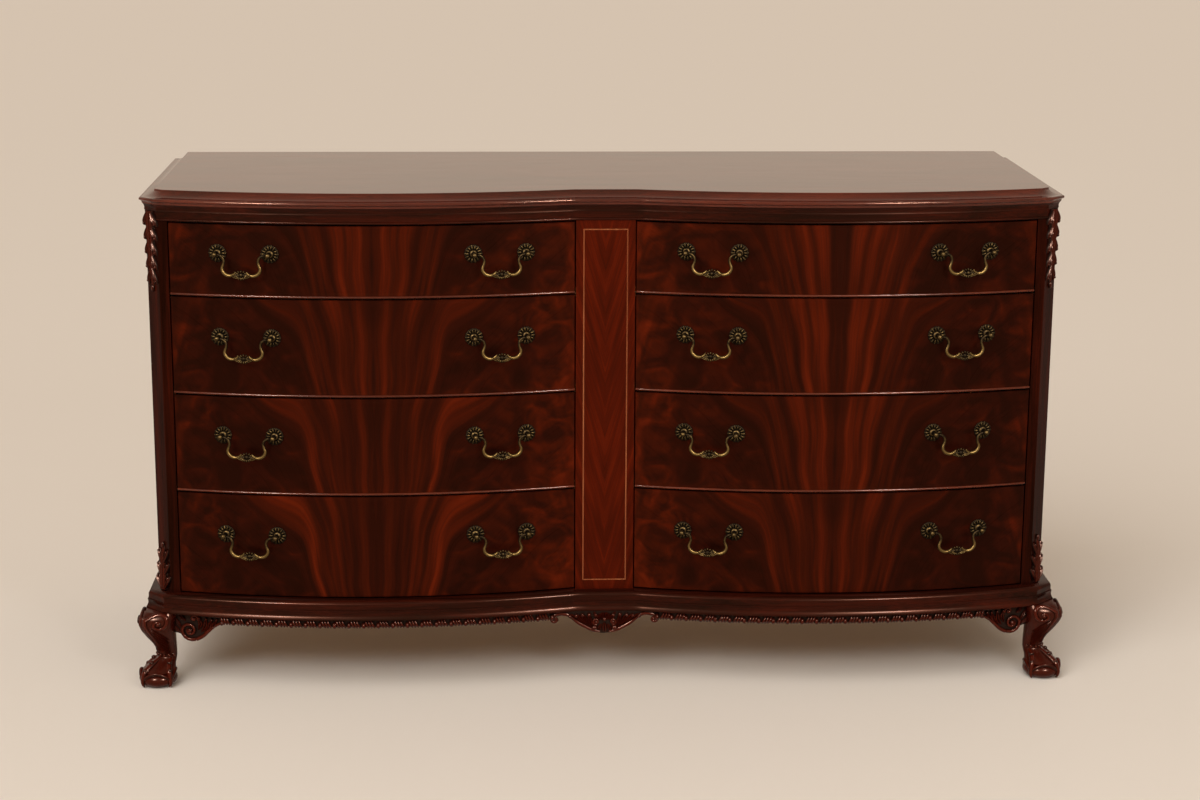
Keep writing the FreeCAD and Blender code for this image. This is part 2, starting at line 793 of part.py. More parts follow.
# Front legs, knee brackets and corner carvings
leg_sections = (
    (lift(0), s.foot_contact_radius, s.foot_offset),
    (s.foot_height * s.foot_belly_share, s.foot_radius, s.foot_offset),
    (s.foot_height, s.instep_radius, (s.foot_offset + s.ankle_offset) / 2),
    (s.ankle_height, s.ankle_radius, s.ankle_offset),
    (s.shin_height, s.shin_radius, s.shin_offset),
    (s.knee_height, s.knee_radius, s.knee_offset),
    (base_bottom, s.leg_top_radius, s.leg_top_offset),
)
brackets = []
carvings = []
bracket_end = corner_x + s.knee_offset - s.knee_radius - s.bracket_leg_gap
bracket_tip = bracket_end - s.bracket_length
side_end = corner_y - s.knee_offset + s.knee_radius + s.bracket_leg_gap
for word, side in SIDES.items():
    leg = "front_leg_" + word
    circles = []
    for number, (height, radius, offset) in enumerate(leg_sections):
        circle = doc.addObject("Part::Circle", "%s_ring_%d" % (leg, number))
        bind(circle, "Radius", radius)
        circles.append(place(circle, side * (corner_x + offset), corner_y - offset, height))
    loft = doc.addObject("Part::Loft", leg)
    loft.Sections = circles
    loft.Solid = True
    parts[leg] = loft

    board = pad("bracket_board_" + word, "XY_Plane", bracket_outline(bracket_tip, bracket_end, side < 0),
                stile_back - ahead)
    place(board, 0, stile_back, 0, LYING)
    bracket_face = bow_radius + s.bracket_reach
    outer = drum("bracket_outer_" + word, bracket_face, side * bow_middle, bow_axis, 0, base_bottom)
    inner = drum("bracket_inner_" + word, bracket_face - s.bracket_thickness, side * bow_middle, bow_axis,
                 0, base_bottom)
    brackets.append(common("bracket_front_" + word, board, cut("bracket_band_" + word, outer, inner)))
    flank = pad("bracket_side_" + word, "XY_Plane",
                bracket_outline(-(side_end + s.bracket_length), -side_end, side < 0), s.bracket_thickness)
    turn = FreeCAD.Rotation(FreeCAD.Vector(0, -side, 0), UP, FreeCAD.Vector(-side, 0, 0), "ZYX")
    brackets.append(place(flank, side * (case_half + s.bracket_reach), 0, 0, turn))

    across = FreeCAD.Vector(1, side, 0).normalize()
    turn = FreeCAD.Rotation(across, UP, across.cross(UP), "ZYX")
    tip = (s.carving_tip_width / 2, 0, s.carving_tip_reach)
    wide = (s.upper_carving_top_width / 2, 0, s.upper_carving_top_reach)
    drop = wedge("upper_carving_" + word, s.upper_carving_height, tip, wide)
    carvings.append(place(drop, side * corner_x, corner_y, frieze_bottom - s.upper_carving_height, turn))
    wide = (s.lower_carving_width / 2, 0, s.lower_carving_reach)
    leaf = wedge("lower_carving_" + word, s.lower_carving_height, wide, tip)
    carvings.append(place(leaf, side * corner_x, corner_y, base_top, turn))
parts["knee_brackets"] = group("knee_brackets", brackets)
parts["corner_carvings"] = group("corner_carvings", carvings)

# Rear legs
rear = []
for word, side in SIDES.items():
    foot = wedge("rear_foot_" + word, s.rear_ankle_height, square_end(s.rear_foot_width),
                 square_end(s.rear_ankle_width))
    shin = wedge("rear_shin_" + word, base_bottom - s.rear_ankle_height, square_end(s.rear_ankle_width),
                 square_end(s.rear_leg_width))
    rear_x = side * (case_half - s.rear_leg_width / 2)
    rear_y = back - s.rear_leg_width / 2
    place(foot, rear_x, rear_y, 0, LYING)
    place(shin, rear_x, rear_y, s.rear_ankle_height, LYING)
    rear.append(fuse("rear_leg_" + word, foot, shin))
parts["rear_legs"] = group("rear_legs", rear)

# Gadroon strips under the bows, and the pendant between them
pendant_half = s.pendant_width / 2
gadroon_low = base_bottom - s.gadroon_height
strips = []
for word, side in SIDES.items():
    rope = lathe("gadroon_rope_" + word, [
        (bow_radius - s.gadroon_backing, gadroon_low, 0),
        (bow_radius + s.gadroon_reach, gadroon_low, s.bead_share),
        (bow_radius + s.gadroon_reach, base_bottom, 0),
        (bow_radius - s.gadroon_backing, base_bottom, 0),
    ])
    place(rope, side * bow_middle, bow_axis)
    span = side_box("gadroon_span_" + word, side, pendant_half + s.pendant_gap, bracket_tip - s.bracket_gap,
                    ahead, stile_back, gadroon_low, base_bottom)
    strips.append(common("gadroon_" + word, rope, span))
parts["gadroon_border"] = group("gadroon_border", strips)
shoulder = pendant_half * s.pendant_shoulder_share
keel = pendant_half * s.pendant_keel_share
end_level = base_bottom - s.pendant_end_drop
shoulder_level = base_bottom - s.pendant_shoulder_drop
keel_level = base_bottom - s.pendant_drop
pendant = pad("apron_pendant", "XY_Plane", [
    (-pendant_half, base_bottom, 0),
    (-pendant_half, end_level, s.pendant_curve_share),
    (-shoulder, shoulder_level, -s.pendant_curve_share),
    (-keel, keel_level, s.pendant_curve_share),
    (keel, keel_level, -s.pendant_curve_share),
    (shoulder, shoulder_level, s.pendant_curve_share),
    (pendant_half, end_level, 0),
    (pendant_half, base_bottom, 0),
], s.pendant_reach)
parts["apron_pendant"] = place(pendant, 0, front, 0, LYING)

doc.recompute()
os.makedirs("parts", exist_ok=True)
for node, piece in parts.items():
    piece.Label = node
    broken = [word for word in piece.State if word in ("Invalid", "Error")]
    if broken or piece.Shape.isNull() or not piece.Shape.isValid():
        raise RuntimeError("%s did not build" % node)
for node, piece in parts.items():
    piece.Shape.exportStep("parts/%s.step" % node)
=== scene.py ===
"""Looks of a double dresser: two bowed banks of flame-veneered drawers on carved claw feet.

Sizes are in millimetres in the row frame, and become metres when a mesh is finished.
"""

import logging
import math
from collections.abc import Callable, Sequence
from dataclasses import dataclass
from enum import Enum
from functools import partial

import bmesh
import bpy
from mathutils import Matrix, Vector


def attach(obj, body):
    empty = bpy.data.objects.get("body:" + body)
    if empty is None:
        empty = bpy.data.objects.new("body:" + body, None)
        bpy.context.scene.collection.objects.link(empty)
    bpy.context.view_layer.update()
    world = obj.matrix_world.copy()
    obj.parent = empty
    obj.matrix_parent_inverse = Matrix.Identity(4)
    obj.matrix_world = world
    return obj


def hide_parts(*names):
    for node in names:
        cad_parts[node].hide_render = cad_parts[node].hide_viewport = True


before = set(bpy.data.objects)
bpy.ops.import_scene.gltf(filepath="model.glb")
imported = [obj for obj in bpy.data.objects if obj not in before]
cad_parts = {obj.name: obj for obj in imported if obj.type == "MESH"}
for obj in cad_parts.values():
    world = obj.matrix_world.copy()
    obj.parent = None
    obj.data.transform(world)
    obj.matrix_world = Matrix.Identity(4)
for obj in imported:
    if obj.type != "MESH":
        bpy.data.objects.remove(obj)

LOG = logging.getLogger("double_dresser")
MM = 0.001
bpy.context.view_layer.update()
CASE = "case"
SMOOTH = 0.7  # Relief of work that isn't carved
FULL_BULGE = 0.3  # Fuller curves of a moulding are half ellipses, slighter ones parabolas
Knots = Sequence[Sequence[float]]
Table = tuple[tuple[float, ...], ...]
Spot = tuple[float, float, float]
Material = bpy.types.Material
Tree = bpy.types.NodeTree
Socket = bpy.types.NodeSocket
Adder = Callable[..., Socket]
Painted = dict[str, Socket]


class Named(Enum):
    """Choice whose name is a word in the frame's names."""

    @property
    def word(self) -> str:
        """Name of the choice as the frame writes it."""
        return self.name.lower()


class Bank(Named):
    """Bank of drawers, with the sign of its X."""

    LEFT = -1
    RIGHT = 1


class Row(Named):
    """Row of drawers: lower edge and height of its fronts."""

    BOTTOM = (173.8, 182.5)
    THIRD = (359.1, 173.0)
    SECOND = (534.9, 171.0)
    TOP = (708.7, 125.5)


class PullPlace(Named):
    """Place of a pull on its drawer, with the sign of its turn from the bank's middle."""

    OUTER = 1
    INNER = -1


class Grain(Enum):
    """Direction in which the fibres of a board run."""

    LENGTHWISE = 0
    FRONT_TO_BACK = 1
    UPRIGHT = 2


def linear(code: str) -> tuple[float, float, float, float]:
    """Turn an sRGB hex colour into linear light.

    Args:
        code: Six hex digits after a hash sign.

    Returns:
        Red, green, blue and an alpha of one.
    """
    values = [int(code[start:start + 2], 16) / 255 for start in (1, 3, 5)]
    red, green, blue = [
        value / 12.92 if value <= 0.04045 else ((value + 0.055) / 1.055) ** 2.4 for value in values
    ]
    return red, green, blue, 1.0


def per_metre(size: float) -> float:
    """Give the pattern scale, in repeats per metre, of a size in millimetres."""
    return 1 / (size * MM)


def spread(start: float, end: float, steps: int) -> list[float]:
    """Give evenly spaced values from start to end, both included."""
    return [start + (end - start) * step / steps for step in range(steps + 1)]


def spline(knots: Knots, steps: int) -> list[tuple[float, ...]]:
    """Run a smooth line through knots that hold any number of values each.

    Args:
        knots: Values that the line passes through.
        steps: Points on each span.

    Returns:
        Points of the line, the last knot included.
    """
    line: list[tuple[float, ...]] = []
    last = len(knots) - 1
    for index in range(last):
        span = [knots[max(index - 1, 0)], knots[index], knots[index + 1], knots[min(index + 2, last)]]
        for step in range(steps):
            t = step / steps
            line.append(tuple(
                0.5 * (2 * b + (c - a) * t + (2 * a - 5 * b + 4 * c - d) * t * t
                       + (3 * b - a - 3 * c + d) * t ** 3)
                for a, b, c, d in zip(*span)
            ))
    line.append(tuple(knots[last]))
    return line


def swell(
    start: Sequence[float], end: Sequence[float], bulge: float, steps: int = 6
) -> list[tuple[float, float]]:
    """Draw a curved run of a moulding upward from one profile point to the next.

    Args:
        start: Reach and level of the lower end.
        end: Reach and level of the upper end.
        bulge: Height of the curve as a share of its chord; a hollow is negative.
        steps: Runs in the curve.

    Returns:
        Reach and level of each point, both ends included.
    """
    low, high = Vector(start), Vector(end)
    chord = high - low
    outward = Vector((chord.y, -chord.x)) * bulge
    full = bulge > FULL_BULGE
    line = []
    for t in spread(0, 1, steps):
        along = (1 - math.cos(math.pi * t)) / 2 if full else t
        out = math.sin(math.pi * t) if full else 4 * t * (1 - t)
        line.append(tuple(low + chord * along + outward * out))
    return line


def add_node(
    tree: Tree,
    kind: str,
    inputs: dict | None = None,
    stops: Sequence[tuple[float, str]] = (),
    out: int | str = 0,
    **settings: object,
) -> Socket:
    """Add one shader node with its settings and links.

    Args:
        tree: Node tree that takes the node.
        kind: Node type without its ShaderNode prefix.
        inputs: Values or output sockets for the node's inputs, by name or place.
        stops: Places and hex colours of a colour ramp.
        out: Output that the next node takes, by name or place.
        settings: Attributes of the node.

    Returns:
        That output socket.
    """
    made = tree.nodes.new("ShaderNode" + kind)
    for name, value in settings.items():
        setattr(made, name, value)
    for key, value in (inputs or {}).items():
        if isinstance(value, Socket):
            tree.links.new(value, made.inputs[key])
        else:
            made.inputs[key].default_value = value
    for place, (position, code) in enumerate(stops):
        ramp = made.color_ramp.elements
        stop = ramp[place] if place < 2 else ramp.new(position)
        stop.position = position
        stop.color = linear(code)
    return made.outputs[out]


@dataclass(frozen=True)
class Plan:
    """Outline of the case seen from above: stile, two bows, canted corners and sides."""

    bow_middle: float = 402.0
    bow_radius: float = 1379.725
    bow_rise: float = 45.0
    front: float = -217.5
    back: float = 286.5
    half_width: float = 792.0
    cant_sum: float = 982.518
    corner_x: float = 781.0
    bow_runs: int = 44

    @property
    def bow_axis(self) -> float:
        """Depth of the axis that both bows turn about."""
        return self.front + self.bow_radius - self.bow_rise

    @property
    def corner(self) -> Vector:
        """Middle of the right canted corner."""
        return Vector((self.corner_x, self.corner_x - self.cant_sum, 0))

    def bow(self, x: float, reach: float = 0.0) -> float:
        """Depth of a bow's face.

        Args:
            x: Distance along the front, on either bank.
            reach: Distance in front of the drawer faces.

        Returns:
            The Y of the face there.
        """
        radius = self.bow_radius + reach
        return self.bow_axis - math.sqrt(radius ** 2 - (abs(x) - self.bow_middle) ** 2)

    def half_outline(self, reach: float) -> list[tuple[float, float]]:
        """Right half of the outline, from the middle of the stile to the back corner.

        Args:
            reach: Distance outside the faces of the case.

        Returns:
            Points of the outline, as many at every reach.
        """
        radius = self.bow_radius + reach
        straight = radius - self.bow_rise
        valley = self.bow_middle - math.sqrt(radius ** 2 - straight ** 2)
        cant = self.cant_sum + reach * math.sqrt(2)
        total = self.bow_middle + cant + self.bow_axis
        square = self.bow_middle ** 2 + (cant + self.bow_axis) ** 2 - radius ** 2
        end = (total - math.sqrt(total ** 2 - 2 * square)) / 2
        side = self.half_width + reach
        points = [(0.0, self.front - reach), (valley / 2, self.front - reach)]
        points += [(x, self.bow(x, reach)) for x in spread(valley, end, self.bow_runs)]
        points += [(side, side - cant), (side, (side - cant + self.back) / 2), (side, self.back)]
        return points

    def outline(self, reach: float) -> list[tuple[float, float]]:
        """Whole outline from the left back corner round the front to the right back corner."""
        half = self.half_outline(reach)
        return [(-x, y) for x, y in reversed(half[1:])] + half

    def on_bow(self, bank: Bank) -> Callable[[Vector], Vector]:
        """Give the map that lays work onto a bank's bow.

        Args:
            bank: Bank whose bow takes the work.

        Returns:
            Map from distance along the front, level and reach to the row frame.
        """
        return lambda p: Vector((bank.value * p.x, self.bow(p.x, p.z), p.y))

    def on_cant(self, bank: Bank) -> Callable[[Vector], Vector]:
        """Give the map that lays work onto a canted corner.

        Args:
            bank: Side of the case whose corner takes the work.

        Returns:
            Map from distance across the cant, level and reach to the row frame.
        """
        across = Vector((1, 1, 0)).normalized()
        outward = Vector((1, -1, 0)).normalized()

        def lay(p: Vector) -> Vector:
            """Lay one point, with the left corner as the right one's mirror image."""
            spot = self.corner + across * p.x + outward * p.z
            return Vector((bank.value * spot.x, spot.y, p.y))

        return lay


PLAN = Plan()


class Carver:
    """Mesh that grows by sweeps, lofts and turnings.

    Every vertex has a relief value, 0 in a hollow and 1 on a crest, that the carved and brass finishes
    read to paint shade in the hollows and light on the crests.
    """

    merged: float = 0.004  # Distance at which vertices are doubles
    steep: float = 0.97  # Cosine from which a rod's line counts as parallel to its upward axis
    thinnest: float = 0.05  # Least half width of a leaf
    # The relief column is painted as light and shade: the blade crests lit, the sunk vein and the edges in
    # shade
    section: Table = (  # Share of a leaf's half width, share of its rise, and relief
        (-1.0, 0.0, 0.0), (-0.8, 0.62, 0.6), (-0.45, 1.0, 1.0), (-0.14, 0.66, 0.45), (0.0, 0.38, 0.05),
        (0.14, 0.66, 0.45), (0.45, 1.0, 1.0), (0.8, 0.62, 0.6), (1.0, 0.0, 0.0),
    )

    def __init__(self) -> None:
        """Start an empty mesh whose work is placed as it is drawn."""
        self.mesh = bmesh.new()
        # Relief, painted by the finishes as shade in the hollows and light on the crests
        self.relief = self.mesh.verts.layers.float.new("relief")
        self.place: Callable[[Vector], Vector] = Vector

    def settle(self, verts: Sequence[bmesh.types.BMVert]) -> None:
        """Move freshly drawn vertices to their place in the row frame."""
        for vert in verts:
            vert.co = self.place(vert.co)

    def sweep(self, rings: Sequence[Knots], capped: bool = True) -> None:
        """Extrude a closed ring from station to station.

        Args:
            rings: Stations, each a ring of three coordinates and a relief.
            capped: Whether both ends get a face. If not, the last station is the first again.
        """
        loop = [self.mesh.verts.new(point[:3]) for point in rings[0]]
        edges = [self.mesh.edges.new(pair) for pair in zip(loop, loop[1:] + loop[:1])]
        made = list(loop)
        if capped:
            self.mesh.faces.new(loop)
        for ring in rings[1:]:
            grown = bmesh.ops.extrude_edge_only(self.mesh, edges=edges)["geom"]
            fresh = {part for part in grown if isinstance(part, bmesh.types.BMVert)}
            loop = [
                next(edge.other_vert(vert) for edge in vert.link_edges if edge.other_vert(vert) in fresh)
                for vert in loop
            ]
            edges = [
                part for part in grown
                if isinstance(part, bmesh.types.BMEdge) and fresh.issuperset(part.verts)
            ]
            for vert, point in zip(loop, ring):
                vert.co = point[:3]
            made += loop
        if capped:
            self.mesh.faces.new(loop)
        for vert, point in zip(made, [point for ring in rings for point in ring]):
            vert[self.relief] = point[3]
        self.settle(made)

    def rod(self, knots: Knots, sides: int = 8, steps: int = 4, low: float = 0.35) -> None:
        """Sweep a round section along a smooth line.

        Args:
            knots: Across, level, height, radius and, where given, a factor on the painted light of
            the crest, of points on the line.
            sides: Sides of the section.
            steps: Stations on each span.
            low: Relief of the section's sides, which the finishes paint in shade.
        """
        line = spline(knots, steps)
        centres = [Vector(point[:3]) for point in line]
        last = len(line) - 1
        up = Vector((0, 0, 1))
        rings = []
        for index, point in enumerate(line):
            tangent = (centres[min(index + 1, last)] - centres[max(index - 1, 0)]).normalized()
            if abs(tangent.dot(up)) > self.steep:
                up = tangent.orthogonal()
            up = (up - tangent * tangent.dot(up)).normalized()
            side = tangent.cross(up)
            ring = []
            for angle in spread(0, math.tau, sides)[:-1]:
                spot = centres[index] + (up * math.cos(angle) + side * math.sin(angle)) * point[3]
                # Painted light and shade: the side facing away from the ground is lit, the sides towards
                # it are shaded
                crest = low + (1 - low) * max(0.0, math.cos(angle))
                ring.append((*spot, crest * (point[4] if len(point) > 4 else 1.0)))
            rings.append(ring)
        self.sweep(rings)

    def leaf(self, knots: Knots, steps: int = 4, depth: float = 2.0) -> None:
        """Loft a leaf with two rounded blades and a sunk vein.

        Args:
            knots: Across, level, height, half width and rise of points on the vein.
            steps: Stations on each span.
            depth: How far the leaf is sunk into its ground.
        """
        line = spline(knots, steps)
        last = len(line) - 1
        rings = []
        for index, point in enumerate(line):
            ahead = Vector(line[min(index + 1, last)][:2])
            behind = Vector(line[max(index - 1, 0)][:2])
            along = (ahead - behind).normalized()
            across = Vector((-along.y, along.x, 0))
            centre = Vector(point[:3])
            half, rise = max(point[3], self.thinnest), point[4]
            ring = [
                (*(centre + across * share * half + Vector((0, 0, lift * rise))), relief)
                for share, lift, relief in self.section
            ]
            ring += [
                (*(centre + across * share * half - Vector((0, 0, depth))), 0.0) for share in (0.8, -0.8)
            ]
            rings.append(ring)
        self.sweep(rings)

    def ball(
        self,
        centre: Sequence[float],
        radii: Sequence[float],
        detail: tuple[int, int] = (12, 8),
        turn: float = 0.0,
        relief: float = 0.9,
        foot: float = 0.25,
    ) -> None:
        """Add a bead or button.

        Args:
            centre: Across, level and height of its middle.
            radii: Half sizes across, up and out.
            detail: Segments round and from pole to pole.
            turn: Turn about the outward axis, in degrees.
            relief: Relief of its crown, which the finishes paint lit.
            foot: Relief of its foot as a share of its crown's; the foot is painted in shade.
        """
        matrix = (
            Matrix.Translation(centre)
            @ Matrix.Rotation(math.radians(turn), 4, "Z")
            @ Matrix.Diagonal((*radii, 1))
        )
        verts = bmesh.ops.create_uvsphere(
            self.mesh, u_segments=detail[0], v_segments=detail[1], radius=1, matrix=matrix
        )["verts"]
        # Painted light and shade: lit at the crown, darker towards the foot
        for vert in verts:
            height = (vert.co.z - centre[2]) / radii[2]
            vert[self.relief] = relief * (foot + (1 - foot) * max(0.0, height))
        self.settle(verts)

    def scroll(
        self,
        centre: Sequence[float],
        radii: tuple[float, float],
        turns: float,
        start: float,
        roll: tuple[float, float],
        climb: float = 0.0,
        eye: float = 0.0,
    ) -> None:
        """Wind a tapering roll into a volute.

        Args:
            centre: Across, level and height of the eye.
            radii: Radius of the line at its start and at its end.
            turns: Turns of the line; a negative number winds clockwise.
            start: Angle of its start, in degrees.
            roll: Radius of the roll at its start and at its end.
            climb: Rise of the roll towards the eye.
            eye: Radius of a button in the eye.
        """
        count = max(8, int(abs(turns) * 16))
        knots = []
        for t in spread(0, 1, count):
            angle = math.radians(start) + math.tau * turns * t
            radius = radii[0] + (radii[1] - radii[0]) * t ** 0.7
            knots.append((
                centre[0] + radius * math.cos(angle),
                centre[1] + radius * math.sin(angle),
                centre[2] + climb * t,
                roll[0] + (roll[1] - roll[0]) * t,
            ))
        self.rod(knots, steps=1)
        if eye:
            self.ball((centre[0], centre[1], centre[2] + climb), (eye, eye, eye * 0.8))

    def turned(self, profile: Knots, steps: int = 24) -> None:
        """Spin a profile about the outward axis.

        Args:
            profile: Radius, height and relief of each point; low relief is painted as shade, high relief
                as light.
            steps: Steps of the full turn.
        """
        before = set(self.mesh.verts)
        verts = []
        for radius, height, relief in profile:
            vert = self.mesh.verts.new((radius, 0, height))
            vert[self.relief] = relief
            verts.append(vert)
        edges = [self.mesh.edges.new(pair) for pair in zip(verts, verts[1:])]
        bmesh.ops.spin(
            self.mesh, geom=verts + edges, cent=(0, 0, 0), axis=(0, 0, 1), angle=math.tau, steps=steps,
            use_merge=True,
        )
        self.settle([vert for vert in self.mesh.verts if vert not in before])

    def finish(
        self,
        name: str,
        material: Material,
        body: str,
        replaces: Sequence[str] = (),
        crease: float = 38.0,
    ) -> bpy.types.Object:
        """Turn the mesh into a piece that rides on a body.

        Args:
            name: Name of the piece.
            material: Its finish.
            body: Body that carries it.
            replaces: Nodes that it stands for.
            crease: Angle from which an edge stays sharp, in degrees.

        Returns:
            The finished piece.
        """
        bmesh.ops.remove_doubles(self.mesh, verts=self.mesh.verts, dist=self.merged)
        bmesh.ops.recalc_face_normals(self.mesh, faces=self.mesh.faces)
        bmesh.ops.scale(self.mesh, vec=(MM, MM, MM), verts=self.mesh.verts)
        for face in self.mesh.faces:
            face.smooth = True
        for edge in self.mesh.edges:
            edge.smooth = edge.calc_face_angle(0.0) < math.radians(crease)
        data = bpy.data.meshes.new(name)
        self.mesh.to_mesh(data)
        self.mesh.free()
        data.materials.append(material)
        piece = bpy.data.objects.new(name, data)
        bpy.context.scene.collection.objects.link(piece)
        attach(piece, body)
        if replaces:
            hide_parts(*replaces)
        LOG.info("%s: %d faces on %s", name, len(data.polygons), body)
        return piece


@dataclass(frozen=True)
class Polish:
    """Gloss of a surface: how strongly, in what colour and under how much clear coat it mirrors."""

    level: float = 0.14
    tint: str = "#ffa988"
    coat: float = 0.0
    coat_roughness: float = 0.08

    def lay(self, shader: bpy.types.Node) -> None:
        """Set the gloss on a shader's own sockets."""
        shader.inputs["Specular IOR Level"].default_value = self.level
        shader.inputs["Specular Tint"].default_value = linear(self.tint)
        shader.inputs["Coat Weight"].default_value = self.coat
        shader.inputs["Coat Roughness"].default_value = self.coat_roughness


@dataclass(frozen=True)
class Finish:
    """Surface of one material: a named shader that the kinds below paint."""

    name: str

    def material(self) -> Material:
        """Make the material, link what the kind of finish paints and set its constant values.

        Returns:
            The new material.
        """
        made = bpy.data.materials.new(self.name)
        made.use_nodes = True
        tree = made.node_tree
        shader = tree.nodes["Principled BSDF"]
        for socket, painted in self.paint(partial(add_node, tree)).items():
            tree.links.new(painted, shader.inputs[socket])
        self.set_constants(shader)
        return made

    def paint(self, add: Adder) -> Painted:
        """Draw the finish.

        Args:
            add: Function that adds a node to the material.

        Returns:
            Outputs that feed the shader, by the name of its socket.
        """
        raise NotImplementedError

    def set_constants(self, shader: bpy.types.Node) -> None:
        """Set the values that are the same all over."""
        raise NotImplementedError


@dataclass(frozen=True)
class PolishedWood(Finish):
    """Wood under a polish whose gloss the fibres break a little."""

    roughness: float = 0.3
    tooth: float = 0.04
    polish: Polish = Polish(level=0.1, tint="#ff9a78")

    def surface(self, add: Adder, colour: Socket, fibres: Socket) -> Painted:
        """Let the fibres break the gloss and the level of the surface.

        Args:
            add: Function that adds a node to the material.
            colour: Colour of the wood.
            fibres: Pattern of the fibres.

        Returns:
            Outputs that feed the shader, by the name of its socket.
        """
        rough, smooth = self.roughness + 0.04, self.roughness - 0.04
        gloss = add("MapRange", {0: fibres, 1: 0.3, 2: 0.7, 3: rough, 4: smooth})
        bump = add("Bump", {"Strength": self.tooth, "Distance": 0.0003, "Height": fibres})
        return {"Base Color": colour, "Roughness": gloss, "Normal": bump}

    def set_constants(self, shader: bpy.types.Node) -> None:
        """Lay the polish."""
        self.polish.lay(shader)


@dataclass(frozen=True)
class StraightWood(PolishedWood):
    """Straight-grained wood: polished mahogany, boxwood lines or planed secondary wood.

    Ribbons of darker and lighter wood run with the fibres, with short dark pores between them,
    and the polish lays one clear gloss over both. Pores are drawn three times as wide as real
    ones so that they show.
    """

    roughness: float = 0.24
    tooth: float = 0.05
    polish: Polish = Polish(level=0.12, tint="#ffac8a", coat=0.05)
    grain: Grain = Grain.LENGTHWISE
    dark: str = "#160602"
    middle: str = "#270a04"
    light: str = "#3b1006"
    ribbon: float = 16.0
    fibre: float = 2.6
    pore: float = 1.2
    joined: bool = False

    def stretched(self, across: float, along: float) -> tuple[float, ...]:
        """Pattern scale of a mark that is so wide across and so long along the fibres."""
        return tuple(per_metre(along if axis == self.grain.value else across) for axis in range(3))

    def paint(self, add: Adder) -> Painted:
        """Draw ribbons, fibres and pores along the grain.

        Args:
            add: Function that adds a node to the material.

        Returns:
            Outputs that feed the shader, by the name of its socket.
        """
        spot = add("TexCoord", out="Object")
        if self.joined:
            spot = self.turned_ends(add, spot)
        noise = {"Vector": spot, "Scale": per_metre(160), "Detail": 1.0}
        wander = add("TexNoise", noise, out="Color")
        drift = add("VectorMath", {0: wander, 1: (0.5, 0.5, 0.5)}, operation="SUBTRACT")
        shift = add("VectorMath", {0: drift, "Scale": 0.012}, operation="SCALE")
        bent = add("VectorMath", {0: spot, 1: shift}, operation="ADD")
        marks = []
        for across, along, detail in (
            (self.ribbon, 420, 3.0), (self.fibre, 160, 3.0), (self.pore, 22, 1.0),
        ):
            laid = add("Mapping", {0: bent, "Scale": self.stretched(across, along)})
            marks.append(add("TexNoise", {0: laid, "Scale": 1.0, "Detail": detail}))
        ribbons, fibres, pores = marks
        mixed = add("Mix", {0: 0.35, 2: ribbons, 3: fibres}, data_type="FLOAT")
        stops = ((0.36, self.dark), (0.66, self.light), (0.5, self.middle))
        colour = add("ValToRGB", {0: mixed}, stops)
        sunk = add("MapRange", {0: pores, 1: 0.3, 2: 0.42, 3: 0.6, 4: 1.0})
        shaded = add(
            "Mix", {0: 1.0, 6: colour, 7: sunk}, out=2, data_type="RGBA", blend_type="MULTIPLY"
        )
        return self.surface(add, shaded, fibres)

    def turned_ends(self, add: Adder, spot: Socket) -> Socket:
        """Turn the grain of a joined box's back, which runs from side to side.

        Args:
            add: Function that adds a node to the material.
            spot: Place on the object.

        Returns:
            The place, with across and depth exchanged on faces that look forward or back.
        """
        normal = add("TexCoord", out="Normal")
        facing = add("SeparateXYZ", {0: normal}, out=1)
        square = add("Math", {0: facing, 1: facing}, operation="MULTIPLY")
        end = add("Math", {0: square, 1: 0.5}, operation="GREATER_THAN")
        across = add("SeparateXYZ", {0: spot})
        depth, level = across.node.outputs[1], across.node.outputs[2]
        turned = add("CombineXYZ", {0: depth, 1: across, 2: level})
        return add("Mix", {0: end, 4: spot, 5: turned}, out=1, data_type="VECTOR")


